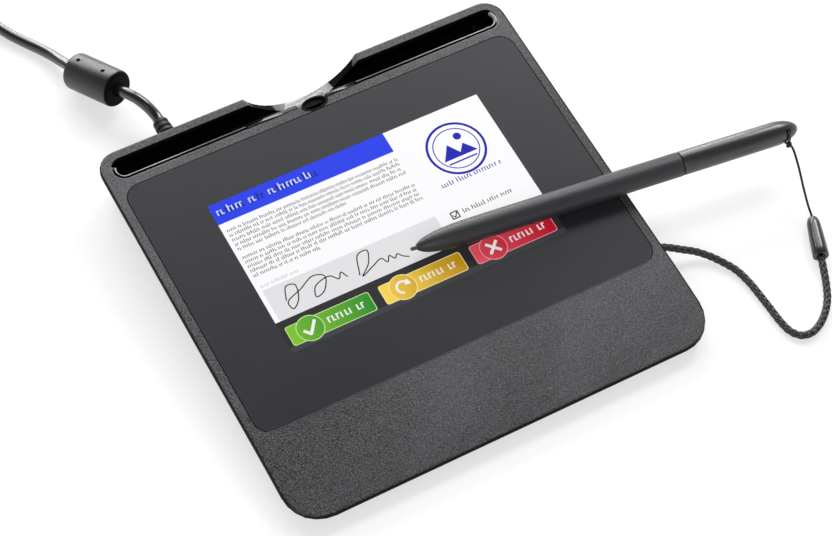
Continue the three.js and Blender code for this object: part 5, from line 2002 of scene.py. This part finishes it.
    def greeked(
        self, ink: Ink, layer: int, left: float, right: float, middle: float, height: float
    ) -> None:
        """Adds a line of small marks that looks like writing and says nothing.

        Args:
            ink: Its colour.
            layer: How many layers lie under it.
            left: Where it starts.
            right: Where it ends.
            middle: The line's middle height.
            height: The height of its small marks.
        """
        dice = random.Random(self.seed + round(middle * 100))
        shortest, longest = 2, 9
        tall_share, high_share, low_share = 0.18, 0.45, 0.8
        stem, step, gap, word_gap = height * 0.24, height * 0.52, height * 0.2, height * 0.55
        half, inner, tall = height * 0.5, height * 0.3, height * 0.45
        x = left
        while x < right - height:
            for _ in range(dice.randint(shortest, longest)):
                if x > right - half:
                    break
                top = half + (tall if dice.random() < tall_share else 0.0)
                self.bar(ink, layer, x, x + stem, middle - half, middle + top)
                kind = dice.random()
                if kind < high_share:
                    self.bar(ink, layer, x, x + step, middle + inner, middle + half)
                elif kind < low_share:
                    self.bar(ink, layer, x, x + step, middle - half, middle - inner)
                x += step + gap
            x += word_gap

    def build(self) -> None:
        """Draws the picture and turns it into thin pieces on the glass."""
        self._page()
        self._writing()
        self._emblem()
        for line in self.scribbles:
            self.stroke(Ink.STROKE, 3, line, self.scribble_width, straight=False)
        for number, button in enumerate(self.buttons):
            self._button(number, button)
        for number, (finish, outlines) in enumerate(self.shapes.values()):
            vertices: list[Vector] = []
            faces: list[list[int]] = []
            for outline, layer in outlines:
                height = self.clearance + self.layer_step * layer
                faces.append(list(range(len(vertices), len(vertices) + len(outline))))
                vertices += [DECK.point((x, y, height)) for x, y in outline]
            mesh = mesh_of(f"picture_{number}", vertices, faces, False)
            name = "picture_" + finish.name.removeprefix("ink ").replace(" ", "_")
            add_piece(name, mesh, finish, Body.PAD)

    def _page(self) -> None:
        """Draws the white page, its header, the signing box and the buttons' strip."""
        w, d = self.half_width, self.half_depth
        self.bar(Ink.PAGE, 0, -w, w, self.strip_top, d)
        self.bar(Ink.STRIP, 0, -w, w, -d, self.strip_top)
        self.bar(Ink.STRIP_LOW, 1, -w, w, -d, self.strip_foot)
        self.bar(Ink.HEADER, 1, -w, self.text_right, self.header_foot, d)
        self.bar(Ink.BOX, 1, self.text_left, self.text_right, self.strip_top, self.box_top)

    def _writing(self) -> None:
        """Draws greeked lines in place of all writing."""
        shade, height = self.title_shade, self.title_height
        middle = self.title_middle
        for left, right in self.title:
            self.greeked(Ink.TITLE_SHADE, 2, left + shade, right + shade, middle - shade, height)
            self.greeked(Ink.TITLE, 3, left, right, middle, height)
        for middle, end in self.rows:
            self.greeked(Ink.WRITING, 2, self.text_left, end, middle, self.row_height)
        self.greeked(Ink.FAINT, 2, -52.0, -37.0, -4.6, 1.0)
        self.greeked(Ink.EMBLEM, 2, 23.6, 48.4, 3.3, 1.45)
        self.greeked(Ink.STROKE, 2, 25.4, 46.8, -8.9, 1.3)
        self.stroke(Ink.STROKE, 2, self.tick_box, 0.45)
        self.stroke(Ink.STROKE, 3, self.tick, 0.4)

    def _emblem(self) -> None:
        """Draws a plain blue emblem: a double ring round two hills and a sun."""
        x, y = self.emblem_middle
        turns = full_turn(48, closed=True)
        for radius, width in zip(self.emblem_radii, (0.95, 0.4)):
            self.stroke(Ink.EMBLEM, 2, round_points(x, y, radius, turns), width)
        self.add(Ink.EMBLEM, 2, [(x - 6.6, y - 3.6), (x + 1.6, y - 3.6), (x - 2.5, y + 2.6)])
        self.add(Ink.EMBLEM, 3, [(x - 0.6, y - 3.6), (x + 6.8, y - 3.6), (x + 3.1, y + 1.1)])
        self.disc(Ink.EMBLEM, 2, x + 2.7, y + 4.4, 1.5)
        self.bar(Ink.EMBLEM, 2, x - 5.6, x + 5.6, y - 5.6, y - 5.0)

    def _button(self, number: int, button: Button) -> None:
        """Draws a rounded button with its disc, its mark and greeked words.

        Args:
            number: Its number, which its inks are named by.
            button: The button.
        """
        left, right = button.left, button.left + self.button_width
        low, high = self.button_span
        rim = self.button_rim
        outer, inner = self.button_corners
        start, end = ((side + TABLE.shift_x) * MM for side in (left, right))
        face = LitInk(f"ink button {number}", button.light, button.dark, start, end)
        start, end = (start + shift * MM for shift in self.disc_fade)
        spot = LitInk(f"ink spot {number}", button.light, button.dark, start, end)
        x, y = left + self.disc_shift, (low + high) / 2
        self.pill(button.rim, 2, (left, right), (low, high), outer)
        self.pill(face, 3, (left + rim, right - rim), (low + rim, high - rim), inner)
        self.disc(button.rim, 4, x, y, self.disc_radii[0])
        self.disc(spot, 5, x, y, self.disc_radii[1])
        self.greeked(Ink.WHITE, 5, left + 14.8, right - 2.4, y, 2.3)
        self._mark(button.mark, x, y)

    def _mark(self, mark: Mark, x: float, y: float) -> None:
        """Draws the mark on a button's disc.

        Args:
            mark: Which mark.
            x: The disc's middle to the right.
            y: The disc's middle to the rear.
        """
        ink, layer = Ink.WHITE, 6
        if mark is Mark.TICK:
            line = [(x - 2.5, y - 0.2), (x - 0.7, y - 2.2), (x + 2.6, y + 2.2)]
            self.stroke(ink, layer, line, 1.1)
        elif mark is Mark.ARROW:
            turns = [0.4 + 0.5 * k for k in range(9)]
            self.stroke(ink, layer, round_points(x, y, 2.3, turns), 0.8)
            self.add(ink, layer, [(x + 0.9, y + 0.4), (x + 3.4, y + 0.2), (x + 2.4, y + 2.6)])
        else:
            for way in (-1, 1):
                line = [(x - 2.0, y - 2.0 * way), (x + 2.0, y + 2.0 * way)]
                self.stroke(ink, layer, line, 1.1)


class LinerFinish(IntEnum):
    """The finishes of the tray's liner, after its polished black."""

    CUP = 1
    SCOOP = 2
    SCOOP_SIDE = 3


@dataclass
class PadCase:
    """The pad's shells, its tray, its glass and its feet.

    Faces get painted shade and other finishes by where they are and how they slope. Reaches are
    distances from an edge in millimetres, and slopes are the part of a face's normal along an axis.
    """

    rim_reach: float = 5.0
    rim_slope: float = 0.25
    edge_reach: float = 1.4
    edge_slope: float = 0.72
    right_slope: float = 0.975
    groove_reach: float = 0.9
    highlight_reach: float = 0.9
    highlight_slope: float = 0.25
    oval_middle: Flat = (-0.35, 54.75)
    oval_half: Flat = (5.6, 3.3)
    scoop_slope: float = 0.2
    scoop_turn: float = 0.4

    def build(self) -> None:
        """Builds the outer pieces with rounded edges."""
        self._paint_edge_shade(softened("upper_housing", "case_top", GREY_CASE, 0.3))
        softened("lower_housing", "case_base", BLACK_BASE_AND_PAINTED_SHADE, 0.3)
        self._dress_liner(softened("pen_tray", "tray_liner", BLACK_LINER, 0.4, segments=4))
        self._paint_edge_highlight(softened("cover_glass", "front_glass", GLASS_FACE, 0.15))
        for name in ("front_left", "front_right", "rear_left", "rear_right"):
            softened(f"foot_{name}", f"rubber_foot_{name}", BLACK_RUBBER, 0.15)

    def _paint_edge_shade(self, top: Piece) -> None:
        """Paints shade in black on the undercut wall, the thin rim and the groove round the glass.

        Args:
            top: The upper shell.
        """
        low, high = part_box("upper_housing")
        inner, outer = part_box("cover_glass")
        reach = self.groove_reach * MM
        # The black second finish is painted shade on the walls, rim and groove that fall into shade
        add_finishes(top, BLACK_BASE_AND_PAINTED_SHADE)
        for face in top.data.polygons:
            x, y, _ = face.center
            rise = face.normal.z
            edge = min(x - low[0], high[0] - x, y - low[1])
            wall = min(edge, high[1] - y) < self.rim_reach * MM and rise < self.rim_slope
            rim = edge < self.edge_reach * MM and rise < self.edge_slope
            right = high[0] - x < self.edge_reach * MM and rise < self.right_slope
            beside = inner[0] - reach < x < outer[0] + reach
            beside = beside and inner[1] - reach < y < outer[1] + reach
            groove = beside and rise < self.edge_slope
            if wall or rim or right or groove:
                face.material_index = SECOND_FINISH

    def _dress_liner(self, liner: Piece) -> None:
        """Dulls the cup and the scoop's sides, and polishes the scoop's middle.

        Args:
            liner: The tray's liner.
        """
        add_finishes(liner, BLACK_BASE_AND_PAINTED_SHADE, SCOOP_GLOSS, SCOOP_DULL)
        to_deck = DECK.matrix().inverted()
        for face in liner.data.polygons:
            place = to_deck @ face.center
            across = (place.x - self.oval_middle[0]) / self.oval_half[0]
            along = (place.y - self.oval_middle[1]) / self.oval_half[1]
            if math.hypot(across, along) < 1.0:
                face.material_index = LinerFinish.CUP
            elif min(face.normal.y, face.normal.z) > self.scoop_slope:
                turned = abs(face.normal.x) > self.scoop_turn
                face.material_index = LinerFinish.SCOOP_SIDE if turned else LinerFinish.SCOOP

    def _paint_edge_highlight(self, glass: Piece) -> None:
        """Paints a pale highlight line on the glass's front edge.

        Args:
            glass: The cover glass.
        """
        low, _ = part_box("cover_glass")
        add_finishes(glass, GLASS_EDGE_HIGHLIGHT)
        for face in glass.data.polygons:
            front = face.center.y - low[1] < self.highlight_reach * MM
            if front and face.normal.y < -self.highlight_slope:
                face.material_index = SECOND_FINISH


@dataclass
class SlotLip:
    """The soft lip in the front of the pen's slot, beside the scoop, and the scoop's ramps.

    The section and the ramp go inward from the slot's edge: how far, and how high on the deck.
    The section's first and last slopes are painted pale as a highlight line, and the flat
    between them is as black as the liner.
    """

    ends: Flat = (-72.85, 73.75)
    middle: float = 59.75
    radius: float = 4.63
    scoop: Flat = (-27.0, 17.5)
    left_turn: Flat = (150.0, 270.0)
    right_turn: Flat = (270.0, 405.0)
    steps: int = 24
    section: tuple[Flat, ...] = (
        (0.0, -0.02),
        (0.12, -0.06),
        (0.24, -0.16),
        (0.3, -0.42),
        (1.3, -0.32),
        (1.5, -0.35),
        (1.68, -0.46),
        (1.84, -0.62),
        (1.96, -0.82),
        (2.0, -1.3),
        (0.0, -1.3),
    )
    pale: tuple[int, ...] = (0, 1, 4, 5, 6, 7)
    ramp: tuple[Flat, ...] = ((0.0, -0.02), (2.6, -1.43), (2.6, -2.6), (0.0, -2.6))
    ramp_lefts: Flat = (-26.4, -6.4)
    ramp_rights: Flat = (5.6, 17.0)

    def build(self) -> None:
        """Builds the left half, the right half and the two ramps in the scoop."""
        left = [*self._turn(self.ends[0], self.left_turn), self._front(self.scoop[0])]
        right = [self._front(self.scoop[1]), *self._turn(self.ends[1], self.right_turn)[1:]]
        for way, places in (("left", left), ("right", right)):
            # The lip's pale slopes are a painted highlight line
            self._sweep(f"slot_lip_{way}", places, self.section, self.pale, LIP_PAINTED_HIGHLIGHT)
        for way, ends in (("left", self.ramp_lefts), ("right", self.ramp_rights)):
            places = [self._front(x) for x in ends]
            self._sweep(f"scoop_ramp_{way}", places, self.ramp, (0,), SCOOP_GLOSS)

    def _front(self, x: float) -> SlotPlace:
        """Gives a place on the slot's straight front edge."""
        return (x, self.middle - self.radius), (0.0, 1.0)

    def _turn(self, centre: float, angles: Flat) -> list[SlotPlace]:
        """Gives the places round an end of the slot.

        Args:
            centre: Where the rounded end has its middle.
            angles: The first and the last angle round it, in degrees.

        Returns:
            The places in order.
        """
        first, last = angles
        places = []
        for step in range(self.steps + 1):
            angle = math.radians(first + (last - first) * step / self.steps)
            x, y = math.cos(angle), math.sin(angle)
            spot = (centre + self.radius * x, self.middle + self.radius * y)
            places.append((spot, (-x, -y)))
        return places

    def _sweep(
        self,
        name: str,
        places: Sequence[SlotPlace],
        section: Sequence[Flat],
        pale: Sequence[int],
        finish: Finish,
    ) -> None:
        """Sweeps a section along a part of the slot.

        Args:
            name: The piece's name.
            places: The places along the slot, in order.
            section: How far inward and how high each corner of the section is.
            pale: The section's sides that have the second finish.
            finish: That second finish.
        """
        matrix = DECK.matrix()
        count = len(section)
        vertices = [
            matrix @ Vector((x + into_x * inward, y + into_y * inward, height))
            for (x, y), (into_x, into_y) in places
            for inward, height in section
        ]
        faces: list[tuple[int, ...]] = []
        for start in range(0, len(vertices) - count, count):
            for side in range(count):
                first, second = start + side, start + (side + 1) % count
                faces.append((first, second, second + count, first + count))
        sides = len(faces)
        faces.append(tuple(range(count))[::-1])
        faces.append(tuple(range(len(vertices) - count, len(vertices))))
        piece = add_piece(name, mesh_of(name, vertices, faces), BLACK_LINER, Body.PAD)
        add_finishes(piece, finish)
        for number, face in enumerate(piece.data.polygons):
            face.use_smooth = number < sides and number % count in pale
            face.material_index = SECOND_FINISH if face.use_smooth else 0


@dataclass(frozen=True)
class InnerParts:
    """The finishes of the solids that are shown as they are."""

    finishes: tuple[tuple[str, Finish], ...] = (
        ("glass_tape", BLACK_RUBBER),
        ("lcd_panel", WHITE_GUIDE),
        ("light_guide", WHITE_GUIDE),
        ("led_bar", BOARD_LACQUER),
        ("lcd_tub", STEEL),
        ("sensor_board", BOARD_LACQUER),
        ("shield_plate", STEEL),
        ("display_chassis", INNER_FRAME),
        ("lcd_ribbon", AMBER_FILM),
        ("sensor_ribbon", AMBER_FILM),
        ("main_board", BOARD_LACQUER),
        ("cable_socket", INNER_FRAME),
        ("inner_wires", CABLE_JACKET),
        ("bead_core", FERRITE_BODY),
        ("plug_tongue", WHITE_GUIDE),
        ("tether_anchor", STEEL),
        ("pen_ferrite", FERRITE_BODY),
        ("pen_winding", COPPER_WIRE),
        ("pen_pressure_sensor", INNER_FRAME),
        ("pen_board", BOARD_LACQUER),
        ("pen_carrier", INNER_FRAME),
    )
    families: tuple[tuple[str, Finish], ...] = (("screw", STEEL), ("chip", CHIP_BODY))

    def build(self) -> None:
        """Gives each remaining solid its finish."""
        chosen = dict(self.finishes)
        for name, node in NODES.items():
            if node.hide_render:
                continue
            kin = [finish for word, finish in self.families if word in name]
            finish = chosen.get(name, kin[0] if kin else None)
            if finish is None:
                LOG.warning("no finish is named for %s", name)
                finish = INNER_FRAME
            node.data.materials.clear()
            node.data.materials.append(finish.material())


def main() -> None:
    """Builds the scene in order and reports each part of it."""
    logging.basicConfig(level=logging.INFO, format="%(name)s: %(message)s")
    scene = bpy.context.scene
    scene.view_settings.view_transform = "Standard"
    for label, part in (
        ("camera", ShotCamera()),
        ("data cable", DataCable()),
        ("pen", Pen()),
        ("tether", Tether()),
        ("case", PadCase()),
        ("slot lip", SlotLip()),
        ("picture", Picture()),
        ("inner parts", InnerParts()),
        ("studio", Studio()),
    ):
        part.build()
        LOG.info("built the %s", label)


if __name__ == "__main__":
    main()
